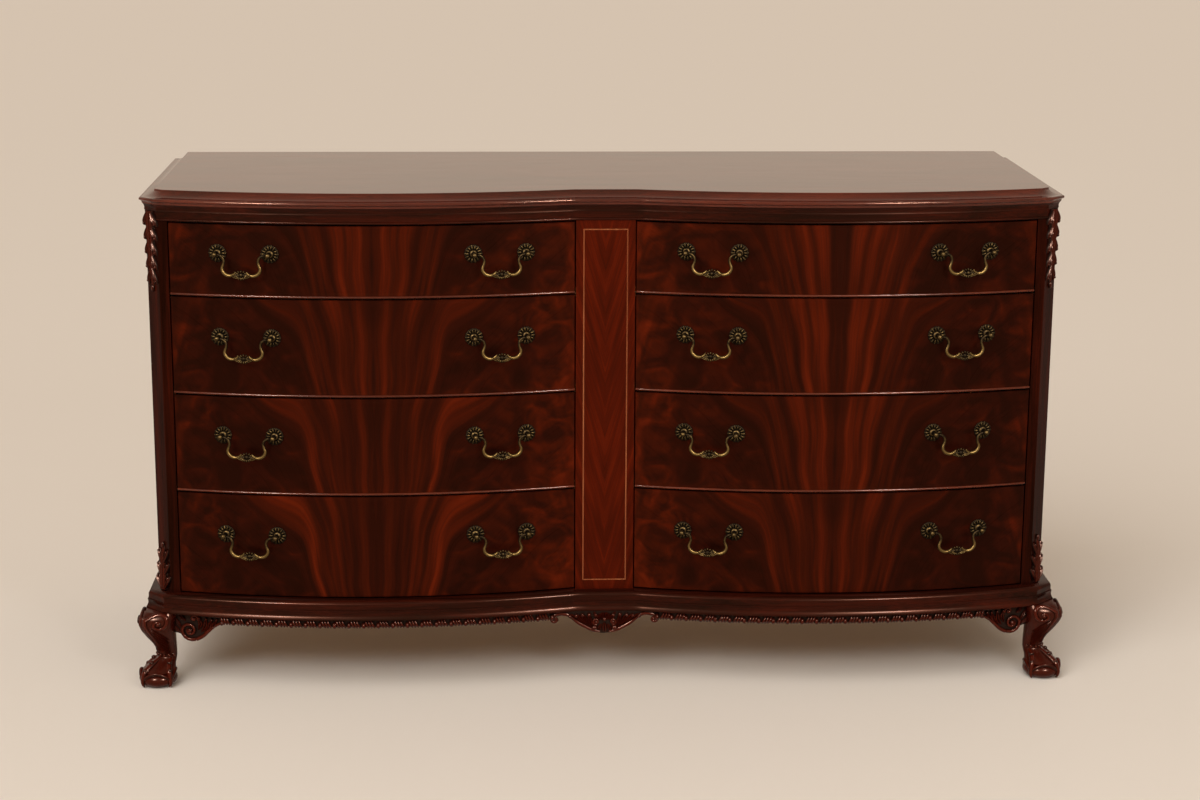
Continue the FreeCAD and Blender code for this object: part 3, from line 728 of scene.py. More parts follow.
@dataclass(frozen=True)
class FlameMahogany(PolishedWood):
    """Crotch-cut mahogany veneer under French polish.

    Two matched leaves meet at the middle of the bank. Streaks stand beside the joint and sweep
    outward as they climb, orange-red at the edge of the plume. Outside it the wood is dark with
    faint swirls, and straight grain comes back at both ends.
    """

    plume_edge: tuple[float, float] = (0.112, 0.146)
    stops: tuple[tuple[float, str], ...] = (
        (0.15, "#1a0602"), (0.88, "#5c1a06"), (0.35, "#270903"), (0.5, "#340d03"), (0.66, "#461204"),
    )

    def paint(self, add: Adder) -> Painted:
        """Draw the plume, its surroundings and the fine fibres from the figure map.

        Args:
            add: Function that adds a node to the material.

        Returns:
            Outputs that feed the shader, by the name of its socket.
        """
        figure = add("UVMap", uv_map="figure")
        across = add("SeparateXYZ", {0: figure})
        level = across.node.outputs[1]
        leaf = add("Attribute", out="Fac", attribute_name="leaf")
        half = add("Math", {0: across}, operation="ABSOLUTE")
        uneven = add("Math", {0: across, 1: 0.5, 2: leaf}, operation="MULTIPLY_ADD")
        spot = add("CombineXYZ", {0: half, 1: level, 2: uneven})

        # Lines of the plume: nearly upright beside the joint, curling outward at its edge
        laid = add("Mapping", {0: spot, "Scale": (per_metre(110), per_metre(150), 1)})
        wander = add("TexNoise", {0: laid, "Scale": 1.0, "Detail": 1.0})
        swayed = add("Math", {0: wander, 1: 0.03, 2: half}, operation="MULTIPLY_ADD")
        bounds = {0: half, 1: 0.115, 2: 0.205, 3: 6.0, 4: 22.0}
        curl = add("MapRange", bounds, interpolation_type="SMOOTHSTEP")
        rise = add("Math", {0: level, 1: curl, 2: 1.6}, operation="MULTIPLY_ADD")
        climb = add("Math", {0: rise, 1: level, 2: 1.0}, operation="MULTIPLY_ADD")
        fan = add("Math", {0: swayed, 1: climb}, operation="DIVIDE")
        line = add("CombineXYZ", {0: fan, 1: level, 2: uneven})
        slanted = add("Math", {0: level, 1: 0.3, 2: half}, operation="MULTIPLY_ADD")
        slope = add("CombineXYZ", {0: slanted, 1: level, 2: uneven})

        marks = []
        for place, wide, high, detail, bend in (
            (line, 19, 420, 3.0, 0.0), (line, 2.2, 160, 2.0, 0.0),
            (spot, 60, 50, 2.0, 1.6), (slope, 16, 600, 2.0, 0.0),
        ):
            scale = (per_metre(wide), per_metre(high), 1)
            laid = add("Mapping", {0: place, "Scale": scale})
            noise = {0: laid, "Scale": 1.0, "Detail": detail, "Distortion": bend}
            marks.append(add("TexNoise", noise))
        streaks, threads, swirls, straight = marks

        # Streaks are stronger towards the edge of the plume
        warm = add("MapRange", {0: fan, 1: 0.02, 2: 0.12, 3: -0.4, 4: -0.74})
        contrast = add("MapRange", {0: fan, 1: 0.02, 2: 0.12, 3: 1.25, 4: 2.35})
        streaked = add("Math", {0: streaks, 1: contrast, 2: warm}, operation="MULTIPLY_ADD")
        plume = add("Math", {0: threads, 1: 0.3, 2: streaked}, operation="MULTIPLY_ADD")

        # The ground darkens outward, and straight grain comes back at both ends
        dimmed = add("Math", {0: across, 1: -0.25, 2: -0.29}, operation="MULTIPLY_ADD")
        swirled = add("Math", {0: swirls, 1: 1.1, 2: dimmed}, operation="MULTIPLY_ADD")
        ends = add("MapRange", {0: half, 1: 0.2, 2: 0.32, 3: 0.0, 4: 0.42})
        ground = add("Math", {0: straight, 1: ends, 2: swirled}, operation="MULTIPLY_ADD")
        near, far = self.plume_edge
        bounds = {0: fan, 1: near, 2: far, 3: 1.0, 4: 0.0}
        inside = add("MapRange", bounds, interpolation_type="SMOOTHSTEP")
        shade = add("Mix", {0: inside, 2: ground, 3: plume}, data_type="FLOAT")
        return self.surface(add, add("ValToRGB", {0: shade}, self.stops), threads)


@dataclass(frozen=True)
class ChevronMahogany(PolishedWood):
    """Matched mahogany veneer of the stile: bright red, in steep chevrons that point down."""

    steepness: float = 3.4
    stops: tuple[tuple[float, str], ...] = ((0.34, "#340b02"), (0.68, "#5b1705"), (0.5, "#450f03"))

    def paint(self, add: Adder) -> Painted:
        """Fold straight grain about the middle of the stile.

        Args:
            add: Function that adds a node to the material.

        Returns:
            Outputs that feed the shader, by the name of its socket.
        """
        spot = add("TexCoord", out="Object")
        across = add("SeparateXYZ", {0: spot})
        level = across.node.outputs[2]
        half = add("Math", {0: across}, operation="ABSOLUTE")
        slant = add("Math", {0: half, 1: -self.steepness, 2: level}, operation="MULTIPLY_ADD")
        line = add("CombineXYZ", {0: half, 1: slant})
        marks = []
        for along, high in ((45, 46), (30, 9)):
            scale = (per_metre(along), per_metre(high), 1)
            laid = add("Mapping", {0: line, "Scale": scale})
            marks.append(add("TexNoise", {0: laid, "Scale": 1.0, "Detail": 2.0}))
        bands, threads = marks
        mixed = add("Mix", {0: 0.4, 2: bands, 3: threads}, data_type="FLOAT")
        return self.surface(add, add("ValToRGB", {0: mixed}, self.stops), threads)


@dataclass(frozen=True)
class CarvedMahogany(PolishedWood):
    """Hand-carved mahogany under old polish.

    The colour follows the relief: the hollows are painted in shade, nearly black, and the crests are
    painted lit and red, and made shinier.
    """

    roughness: float = 0.2
    polish: Polish = Polish(level=0.2, tint="#ffc8ae")
    # Painted shade in the hollows, painted light on the crests
    hollow: str = "#0b0302"
    flank: str = "#220703"
    crest: str = "#461207"

    def paint(self, add: Adder) -> Painted:
        """Paint shade and light by relief, broken by fibres and old wax.

        Args:
            add: Function that adds a node to the material.

        Returns:
            Outputs that feed the shader, by the name of its socket.
        """
        spot = add("TexCoord", out="Object")
        relief = add("Attribute", out="Fac", attribute_name="relief")
        scale = (per_metre(2.4), per_metre(2.4), per_metre(40))
        laid = add("Mapping", {0: spot, "Scale": scale})
        fibres = add("TexNoise", {0: laid, "Scale": 1.0, "Detail": 3.0})
        wax = add("TexNoise", {0: spot, "Scale": per_metre(9), "Detail": 2.0})
        broken = add("Math", {0: fibres, 1: 0.35, 2: -0.33}, operation="MULTIPLY_ADD")
        worn = add("Math", {0: wax, 1: 0.3, 2: broken}, operation="MULTIPLY_ADD")
        # Painted shade and light: low relief dark, high relief light, mottled by the wax and fibres
        level = add("Math", {0: relief, 1: worn}, operation="ADD")
        stops = ((0.08, self.hollow), (0.95, self.crest), (0.5, self.flank))
        rough, smooth = self.roughness + 0.25, self.roughness - 0.04
        return {
            "Base Color": add("ValToRGB", {0: level}, stops),
            "Roughness": add("MapRange", {0: level, 1: 0.0, 2: 1.0, 3: rough, 4: smooth}),
            "Normal": add("Bump", {"Strength": 0.1, "Distance": 0.0005, "Height": fibres}),
        }


@dataclass(frozen=True)
class AntiqueBrass(Finish):
    """Cast brass with brown patina.

    The crests are painted yellow and bright as if lit, and the hollows nearly black with patina and
    painted shade.
    """

    # Patina and painted shade in the hollows, painted light on the crests
    hollow: str = "#0d0906"
    flank: str = "#20180f"
    crest: str = "#5c4828"

    def paint(self, add: Adder) -> Painted:
        """Paint the crests bright as lit, and the hollows dark with patina and painted shade.

        Args:
            add: Function that adds a node to the material.

        Returns:
            Outputs that feed the shader, by the name of its socket.
        """
        spot = add("TexCoord", out="Object")
        relief = add("Attribute", out="Fac", attribute_name="relief")
        patina = add("TexNoise", {0: spot, "Scale": per_metre(4.5), "Detail": 3.0})
        broken = add("Math", {0: patina, 1: 0.6, 2: -0.3}, operation="MULTIPLY_ADD")
        # Painted shade and light: the relief darkens the hollows and brightens the crests, mottled by the
        # patina
        level = add("Math", {0: relief, 1: broken}, operation="ADD")
        stops = ((0.15, self.hollow), (0.95, self.crest), (0.55, self.flank))
        return {
            "Base Color": add("ValToRGB", {0: level}, stops),
            "Roughness": add("MapRange", {0: level, 1: 0.1, 2: 0.9, 3: 0.65, 4: 0.4}),
            "Normal": add("Bump", {"Strength": 0.15, "Distance": 0.0004, "Height": patina}),
        }

    def set_constants(self, shader: bpy.types.Node) -> None:
        """Make it metal."""
        shader.inputs["Metallic"].default_value = 1.0


@dataclass(frozen=True)
class StudioPaper(Finish):
    """Seamless paper of the studio: pale and matt with a faint tooth."""

    tone: str = "#ebe1d5"

    def paint(self, add: Adder) -> Painted:
        """Draw the paper's tooth.

        Args:
            add: Function that adds a node to the material.

        Returns:
            Outputs that feed the shader, by the name of its socket.
        """
        spot = add("TexCoord", out="Object")
        tooth = add("TexNoise", {0: spot, "Scale": per_metre(30), "Detail": 2.0})
        bump = add("Bump", {"Strength": 0.03, "Distance": 0.001, "Height": tooth})
        return {"Normal": bump}

    def set_constants(self, shader: bpy.types.Node) -> None:
        """Set the even tone and the matt surface."""
        shader.inputs["Base Color"].default_value = linear(self.tone)
        shader.inputs["Roughness"].default_value = 0.9
        shader.inputs["Specular IOR Level"].default_value = 0.1


@dataclass
class Mouldings:
    """Moulded top, frieze and base, which follow the outline of the case."""

    top_level: float = 888.0
    frieze_top: float = 865.0
    frieze_bottom: float = 837.0
    frieze_tuck: float = -30.0
    base_top: float = 171.0
    base_bottom: float = 137.0
    base_tuck: float = -40.0
    hollow: float = -0.14
    torus: float = 0.47
    ovolo: float = 0.2
    crease: float = 28.0

    def build(self, edge_wood: Material, top_wood: Material) -> None:
        """Build the three mouldings.

        Args:
            edge_wood: Finish of the long mouldings.
            top_wood: Finish of the top board.
        """
        self.build_top(top_wood)
        low, high, tuck = self.frieze_bottom, self.frieze_top, self.frieze_tuck
        frieze = [
            (tuck, low), *swell((0.6, low), (0.6, low + 4.5), self.torus, 8),
            (0.6, low + 16.1), (1.0, low + 16.5),
            *swell((1.8, low + 16.5), (4.4, high), self.hollow), (tuck, high),
        ]
        self.run("dressed_frieze", frieze, edge_wood, "frieze_moulding")
        low, high, tuck = self.base_bottom, self.base_top, self.base_tuck
        base = [
            (tuck, low), (23.4, low), (24, low + 0.6),
            *swell((24, low + 3), (21.5, low + 17.4), self.hollow),
            (20.9, low + 18), (19.5, low + 18),
            *swell((19.5, high - 10), (13, high), self.ovolo), (tuck, high),
        ]
        self.run("dressed_base", base, edge_wood, "base_moulding")

    def build_top(self, wood: Material) -> None:
        """Sweep the outline of the top upward through its moulded edge.

        Args:
            wood: Finish of the top board.
        """
        low, high = self.frieze_top, self.top_level
        edge = [
            *swell((5, low), (7, low + 4.5), self.hollow),
            *swell((7, low + 4.5), (7, low + 10.5), self.torus, 10)[1:],
            *swell((7, low + 10.5), (-16, high - 3.5), self.hollow, 10)[1:],
            (-16, high - 0.7), (-16.7, high),
        ]
        carver = Carver()
        carver.sweep([[(x, y, level, SMOOTH) for x, y in PLAN.outline(reach)] for reach, level in edge])
        carver.finish("dressed_top", wood, CASE, ["top_board"])

    def run(self, name: str, profile: Knots, wood: Material, node: str) -> None:
        """Sweep a moulding's profile round the case.

        Args:
            name: Name of the piece.
            profile: Reach and level of its section's points, in order.
            wood: Finish of the piece.
            node: Node that it stands for.
        """
        outlines = [PLAN.outline(reach) for reach, _ in profile]
        carver = Carver()
        carver.sweep([
            [(*outline[station], level, SMOOTH) for outline, (_, level) in zip(outlines, profile)]
            for station in range(len(outlines[0]))
        ])
        carver.finish(name, wood, CASE, [node], crease=self.crease)


@dataclass
class Drawer:
    """Bowed front of one drawer, with its veneer and, except in the bottom row, the cock bead along its
    lower edge.
    """

    bank: Bank
    row: Row
    inner: float = 53.5
    outer: float = 750.5
    thickness: float = 20.0
    edge: float = 0.7
    runs: int = 56
    bead: float = 2.0
    bead_lift: float = 0.5
    bead_sweep: float = 100.0
    bead_relief: float = 0.8
    row_shift: float = 0.14
    bank_shift: float = 0.3

    @property
    def body(self) -> str:
        """Body that carries the drawer."""
        return "drawer_%s_%s" % (self.bank.word, self.row.word)

    def build(self, veneer: Material, core: Material, bead_wood: Material) -> None:
        """Sweep the front's section along the bow and map the figure on it.

        Args:
            veneer: Finish of the front.
            core: Finish of its inside.
            bead_wood: Finish of the cock bead under it.
        """
        low, height = self.row.value
        high = low + height
        carver = Carver()
        carver.place = PLAN.on_bow(self.bank)
        rings = []
        for x, ease in self.columns():
            section = (
                (low, -self.thickness), (low, -self.edge - ease), (low + self.edge, -ease),
                (high - self.edge, -ease), (high, -self.edge - ease), (high, -self.thickness),
            )
            rings.append([(x, level, reach, SMOOTH) for level, reach in section])
        carver.sweep(rings)
        self.map_figure(carver)
        name = "veneered_" + self.body
        front = carver.finish(name, veneer, self.body, [self.body + "_front"], crease=30)
        front.data.materials.append(core)
        for face in front.data.polygons:
            face.material_index = int(face.normal.y > 0.5)
        if self.row is not Row.BOTTOM:
            self.build_bead(bead_wood)

    def map_figure(self, carver: Carver) -> None:
        """Map the figure in metres from the bank's middle and the front's lower edge.

        Args:
            carver: Mesh of the front.
        """
        figure = carver.mesh.loops.layers.uv.new("figure")
        leaf = carver.mesh.verts.layers.float.new("leaf")
        bank_shift = self.bank_shift if self.bank is Bank.RIGHT else 0.0
        for vert in carver.mesh.verts:
            vert[leaf] = self.row_shift * list(Row).index(self.row) + bank_shift
        for face in carver.mesh.faces:
            for loop in face.loops:
                spot = loop.vert.co
                across, level = abs(spot.x) - PLAN.bow_middle, spot.z - self.row.value[0]
                loop[figure].uv = (across * MM, level * MM)

    def columns(self) -> list[tuple[float, float]]:
        """Places along the front, each with the depth of the eased edge there."""
        run = spread(self.inner + self.edge, self.outer - self.edge, self.runs)
        return [(self.inner, self.edge), *((x, 0.0) for x in run), (self.outer, self.edge)]

    def build_bead(self, wood: Material) -> None:
        """Sweep the cock bead along the lower edge of the front.

        Args:
            wood: Finish of the bead.
        """
        level = self.row.value[0] + self.bead_lift + self.bead
        carver = Carver()
        carver.place = PLAN.on_bow(self.bank)
        arc = [math.radians(angle) for angle in spread(-self.bead_sweep, self.bead_sweep, 10)]
        rings = []
        for x, ease in self.columns():
            size = self.bead - ease / 2
            rings.append([
                (x, level + size * math.sin(angle), size * math.cos(angle), self.bead_relief)
                for angle in arc
            ])
        carver.sweep(rings)
        carver.finish("cock_bead_" + self.body, wood, self.body, crease=50)


@dataclass
class GadroonBorder:
    """Carved border under both bows: a bead and three slanting ribs, over and over."""

    start: float = 98.0
    end: float = 675.5
    low: float = 121.0
    high: float = 137.0
    ground: float = 17.5
    pitch: float = 25.6
    ribs: int = 3
    first_rib: float = 5.4
    rib_step: float = 5.1
    rib: Table = ((1.2, 1.4, -1, 1.4), (2.4, 5.6, 3, 2.2), (5.2, 10.4, 3.6, 2.2), (7.2, 15, 1, 1.3))

    def build(self, wood: Material) -> None:
        """Build the ground strip of each bow and the ornament on it.

        Args:
            wood: Finish of the border.
        """
        carver = Carver()
        deep, low, high = self.ground, self.low, self.high
        section = (
            (-8, high), (-8, low + 3), (1, low + 1), (deep - 2, low + 2), (deep, low + 6), (deep, high),
        )
        for bank in Bank:
            carver.place = PLAN.on_bow(bank)
            # The ground strip is painted in shade behind the beads and ribs
            carver.sweep([
                [(x, level, reach, 0.0) for reach, level in section]
                for x in spread(self.start, self.end, 40)
            ])
            count = int((self.end - self.start) / self.pitch) + 1
            for number in range(count):
                self.carve_unit(carver, self.end - self.pitch * (number + 0.75))
        carver.finish("carved_gadroon", wood, CASE, ["gadroon_border"], crease=60)

    def carve_unit(self, carver: Carver, x: float) -> None:
        """Carve one bead and the ribs that follow it.

        Args:
            carver: Mesh that takes the unit.
            x: Distance of the unit along the front.
        """
        carver.ball((x, self.low + 6.4, self.ground + 1), (4.3, 6.2, 6.4), (10, 8))
        for rib in range(self.ribs):
            foot = x + self.first_rib + self.rib_step * rib
            carver.rod([
                (foot + across, self.low + up, self.ground + lift, thick)
                for across, up, lift, thick in self.rib
            ], sides=6, steps=2, low=0.1)


@dataclass
class ApronPendant:
    """Scrolled pendant under the stile: a shell over two volutes, between raking leaves."""

    thickness: float = 24.0
    top: float = 137.0
    shell_level: float = 119.0
    lower_edge: Table = (
        (0, 95.8), (13.4, 97.4), (32.6, 105), (48.2, 113.8), (57, 121.4), (65, 127), (74, 129),
        (84, 127),
    )
    lobe: Table = ((0.1, 0.8, 1.0), (0.5, 2.4, 4.0), (0.85, 3.0, 5.2), (1.0, 1.4, 2.4))
    lobe_length: float = 16.5
    blades: Table = ((24, 25, 29), (28, 33, 41), (33, 42, 52), (40, 51, 63))
    rim: Table = (
        (8, 98.6, 2.0), (20, 101.6, 3.2), (32, 107.4, 3.6), (46, 115.4, 3.6), (56, 123.4, 3.0),
        (64, 128.6, 2.0),
    )
    arm: Table = ((54, 124.5, 2.4), (65, 130.2, 3.2), (75, 132.4, 3.3), (84, 131.6, 3.2), (92, 128, 3.1))

    def build(self, wood: Material) -> None:
        """Build the pendant's board and carve its face.

        Args:
            wood: Finish of the pendant.
        """
        carver = Carver()
        carver.place = lambda p: Vector((p.x, PLAN.front - p.z, p.y))
        outline = [*spline(self.lower_edge, 4), (98, 127), (99, self.top)]
        outline = [(-x, level) for x, level in reversed(outline[1:])] + outline
        # The board is painted in shade behind the carving
        carver.sweep([
            [(x, level, depth, 0.0) for x, level in outline] for depth in (0.0, self.thickness)
        ])
        for side in (1, -1):
            self.carve_half(carver, side)
        self.carve_shell(carver)
        carver.finish("carved_pendant", wood, CASE, ["apron_pendant"], crease=60)

    def carve_shell(self, carver: Carver) -> None:
        """Carve the shell, the bud under it and the leaf that hangs from the bud.

        Args:
            carver: Mesh that takes the carving.
        """
        face = self.thickness
        for number, angle in enumerate(spread(38, 142, 6)):
            along = Vector((math.cos(math.radians(angle)), math.sin(math.radians(angle))))
            knots = []
            for share, half, rise in self.lobe:
                spot = Vector((0, self.shell_level)) + along * self.lobe_length * share
                knots.append((spot.x, spot.y, face + 0.5, half, rise + number % 2 * 0.8))
            carver.leaf(knots, depth=4)
        carver.ball((0, self.shell_level + 3.5, face + 2), (4.4, 4.4, 4.2))
        carver.leaf((
            (0, 116, face, 1.6, 1.4), (0, 109, face + 0.6, 4.6, 3.4),
            (0, 101, face, 4.0, 2.8), (0, 96.4, face - 1, 0.8, 0.8),
        ), depth=4)

    def carve_half(self, carver: Carver, side: int) -> None:
        """Carve the leaves, the arm and the volutes of one half.

        Args:
            carver: Mesh that takes the carving.
            side: Sign of X of the half.
        """
        face = self.thickness
        for number, (root, middle, tip) in enumerate(self.blades):
            carver.leaf([
                (side * root, 107 + 3.2 * number, face, 1.4, 1.2),
                (side * middle, 118 + 2 * number, face + 0.6, 3.8, 5.0),
                (side * (middle + tip) / 2, 127 + 0.6 * number, face + 0.8, 3.6, 5.0),
                (side * tip, 134.4 - number, face, 1.4, 2.0),
            ], depth=4)
            carver.ball((side * (tip - 1.6), 131.6 - number, face + 3.6), (3.7, 3.7, 4.2), (10, 8))
        carver.rod([(side * x, level, face + 0.4, thick) for x, level, thick in self.rim])
        carver.ball((side * 18, 107, face + 2.0), (6.0, 4.8, 5.2))
        carver.leaf((
            (side * 5, 113, face, 1.6, 1.2), (side * 8.4, 107.4, face + 0.6, 3.4, 2.8),
            (side * 9.6, 102, face + 0.4, 2.8, 2.4), (side * 8, 98.2, face - 0.6, 0.8, 0.8),
        ), depth=4)
        carver.leaf((
            (side * 9, 119.5, face, 1.2, 1.0), (side * 13, 126, face + 0.8, 4.2, 4.6),
            (side * 16.5, 131.6, face + 0.8, 3.6, 4.4), (side * 19, 135.6, face, 1.0, 1.6),
        ), depth=4)
        carver.ball((side * 15.6, 131, face + 4.2), (3.6, 3.4, 3.6), (10, 8))
        carver.rod([(side * x, level, face + 0.6, thick) for x, level, thick in self.arm])
        carver.scroll(
            (side * 88.6, 122.2, face + 0.4), (7.4, 1.8), -1.3 * side, 90 - 34 * side, (3.1, 1.9), 1.5, 3.0
        )
        carver.scroll(
            (side * 15, 117.6, face + 1), (7.0, 1.6), 1.4 * side, 90 - 190 * side, (2.4, 1.5), 2, 2.4
        )


@dataclass
class ClawLeg:
    """Carved cabriole front leg on a claw and ball."""

    bank: Bank
    ball_radius: float = 34.0
    ball_offset: float = 16.0
    ball_middle: float = 14.0
    ball_half: float = 18.0
    girth: float = 30.0
    ridge: float = math.radians(-45)
    collar: float = 54.0
    claw_angles: tuple[float, ...] = (-45, 45, 135, 225)
    stations: Table = (
        (24, 16, 28.5, 2.0), (28, 15, 30.5, 2.0), (33, 12, 27, 2.0), (38, 8.5, 23.4, 2.0),
        (44, 3.5, 19.4, 2.1), (50, 0, 16.6, 2.2), (62, 0.5, 17.2, 2.3), (76, 3.5, 20, 2.5),
        (90, 8, 24.5, 2.7), (104, 12, 28.5, 2.8), (117, 14, 31, 2.8), (128, 12, 31.5, 2.8),
        (138, 7, 30, 2.7),
    )
    tongue: Table = (
        (0, 133, -0.5, 2, 1.2), (0, 120, 0, 4.4, 2.4), (0, 100, 0, 6.4, 2.6), (0, 82, 0, 6, 2.2),
        (0, 66, 0, 4, 1.6), (0, 56, -0.5, 1, 0.6),
    )
    stem: Table = (
        (4, 130, 0.2, 3.6), (6.4, 117, 0.2, 3.2), (9.6, 97, 0, 2.8), (9, 80, 0, 2.3), (7, 66, -0.4, 1.6),
        (5, 57, -1, 0.8),
    )
    claw: Table = (
        (0.85, 13, 48, 3.8), (0.5, 19, 41.5, 4.8), (0.2, 25, 34.5, 5.4), (0.05, 30, 27.5, 5.4),
        (0, 33, 20.5, 4.2), (0, 34.6, 13.5, 4.2), (0, 34, 7, 3.0), (0, 31.6, 2.4, 1.6),
    )
    knuckles: Table = ((0.35, 43, 22.5), (0.08, 32, 30.5))
    web: Table = ((-40, 33.6, 17), (-26, 32.4, 23.5), (0, 30.6, 28.4), (26, 32.4, 23.5), (40, 33.6, 17))

    def shape_at(self, level: float) -> tuple[float, float, float]:
        """Interpolate the leg's section at a level.

        Args:
            level: Height above the floor.

        Returns:
            Offset of its middle along the corner's diagonal, half width and squareness.
        """
        level = min(max(level, self.stations[0][0]), self.stations[-1][0])
        for low, high in zip(self.stations, self.stations[1:]):
            if level <= high[0]:
                share = (level - low[0]) / (high[0] - low[0])
                return tuple(a + (b - a) * share for a, b in zip(low[1:], high[1:]))
        return self.stations[-1][1:]

    def wrap(self, p: Vector) -> Vector:
        """Lay work onto the leg's surface.

        Args:
            p: Distance round the leg from its ridge, level and height above the surface.

        Returns:
            The point in the row frame.
        """
        offset, half, square = self.shape_at(p.y)
        angle = self.ridge + p.x / self.girth
        norm = (abs(math.cos(angle)) ** square + abs(math.sin(angle)) ** square) ** (1 / square)
        radius = half / norm + p.z
        x = PLAN.corner.x + offset + radius * math.cos(angle)
        y = PLAN.corner.y - offset + radius * math.sin(angle)
        return Vector((self.bank.value * x, y, p.y))

    def build(self, wood: Material) -> None:
        """Loft the leg, carve its knee and set the claw on its ball.

        Args:
            wood: Finish of the leg.
        """
        carver = Carver()
        carver.place = self.wrap
        rings = []
        for level, _, _, _ in spline(self.stations, 3):
            rings.append([(self.girth * angle, level, 0, 0.72) for angle in spread(0, math.tau, 32)[:-1]])
        carver.sweep(rings)
        for side in (1, -1):
            self.carve_knee(carver, side)
        carver.leaf(self.tongue)
        for angle in spread(-84, 84, 7):
            around = self.girth * math.radians(angle)
            carver.ball((around, self.collar, 0.6), (4.2, 3.6, 3.8), (10, 8), relief=1.0)
        self.set_foot(carver)
        word = self.bank.word
        carver.finish("carved_leg_" + word, wood, CASE, ["front_leg_" + word], crease=60)

    def carve_knee(self, carver: Carver, side: int) -> None:
        """Carve the volute and the raking leaves of one face of the knee.

        Args:
            carver: Mesh that takes the carving.
            side: 1 for the face towards the end of the case, -1 for the front.
        """
        start = 90 + side * 72
        carver.scroll((side * 27, 121, 1.0), (21.5, 3), -1.3 * side, start, (3.7, 2.3), 2.0, 3.8)
        carver.rod([(side * x, *rest) for x, *rest in self.stem])
        for number in range(6):
            drop = 10.5 * number
            carver.leaf((
                (side * (14 - 0.4 * number), 112 - drop * 0.75, -0.4, 1.0, 0.8),
                (side * (21 + 0.5 * number), 103 - drop * 0.8, 0.2, 3.0, 3.2),
                (side * (31 + 0.6 * number), 93 - drop * 0.72, 0.2, 3.0, 3.2),
                (side * (42 - number), 87 - drop * 0.62, -0.4, 0.8, 0.6),
            ))

    def set_foot(self, carver: Carver) -> None:
        """Set the ball and the four claws that grip it.

        Args:
            carver: Mesh that takes the foot.
        """
        middle = PLAN.corner + Vector((self.ball_offset, -self.ball_offset, 0))
        sign = self.bank.value
        carver.place = lambda p: Vector((sign * (middle.x + p.x), middle.y + p.y, max(p.z, 0.0)))
        size = (self.ball_radius, self.ball_radius, self.ball_half)
        # Painted light: the ball's top is painted lighter than its sides
        carver.ball((0, 0, self.ball_middle), size, (32, 20), foot=0.85)
        ankle = Vector((-self.ball_offset, self.ball_offset))
        for angle in self.claw_angles:
            along = Vector((math.cos(math.radians(angle)), math.sin(math.radians(angle))))
            knots = []
            for back, reach, level, thick in self.claw:
                spot = ankle * back + along * reach
                knots.append((spot.x, spot.y, level, thick))
            carver.rod(knots, sides=10, steps=4, low=0.4)
            for back, level, reach in self.knuckles:
                spot = ankle * back + along * reach
                carver.ball((spot.x, spot.y, level), (4.4, 4.4, 3.8), (10, 8))
            self.hang_web(carver, angle + 45)

    def hang_web(self, carver: Carver, middle: float) -> None:
        """Arch the rolled edge of the web between two claws over the ball.

        Args:
            carver: Mesh that takes the edge.
            middle: Angle of the middle of the web, in degrees.
        """
        knots = []
        for turn, reach, level in self.web:
            angle = math.radians(middle + turn)
            knots.append((reach * math.cos(angle), reach * math.sin(angle), level, 3.0))
        carver.rod(knots, sides=8, steps=4, low=0.5)


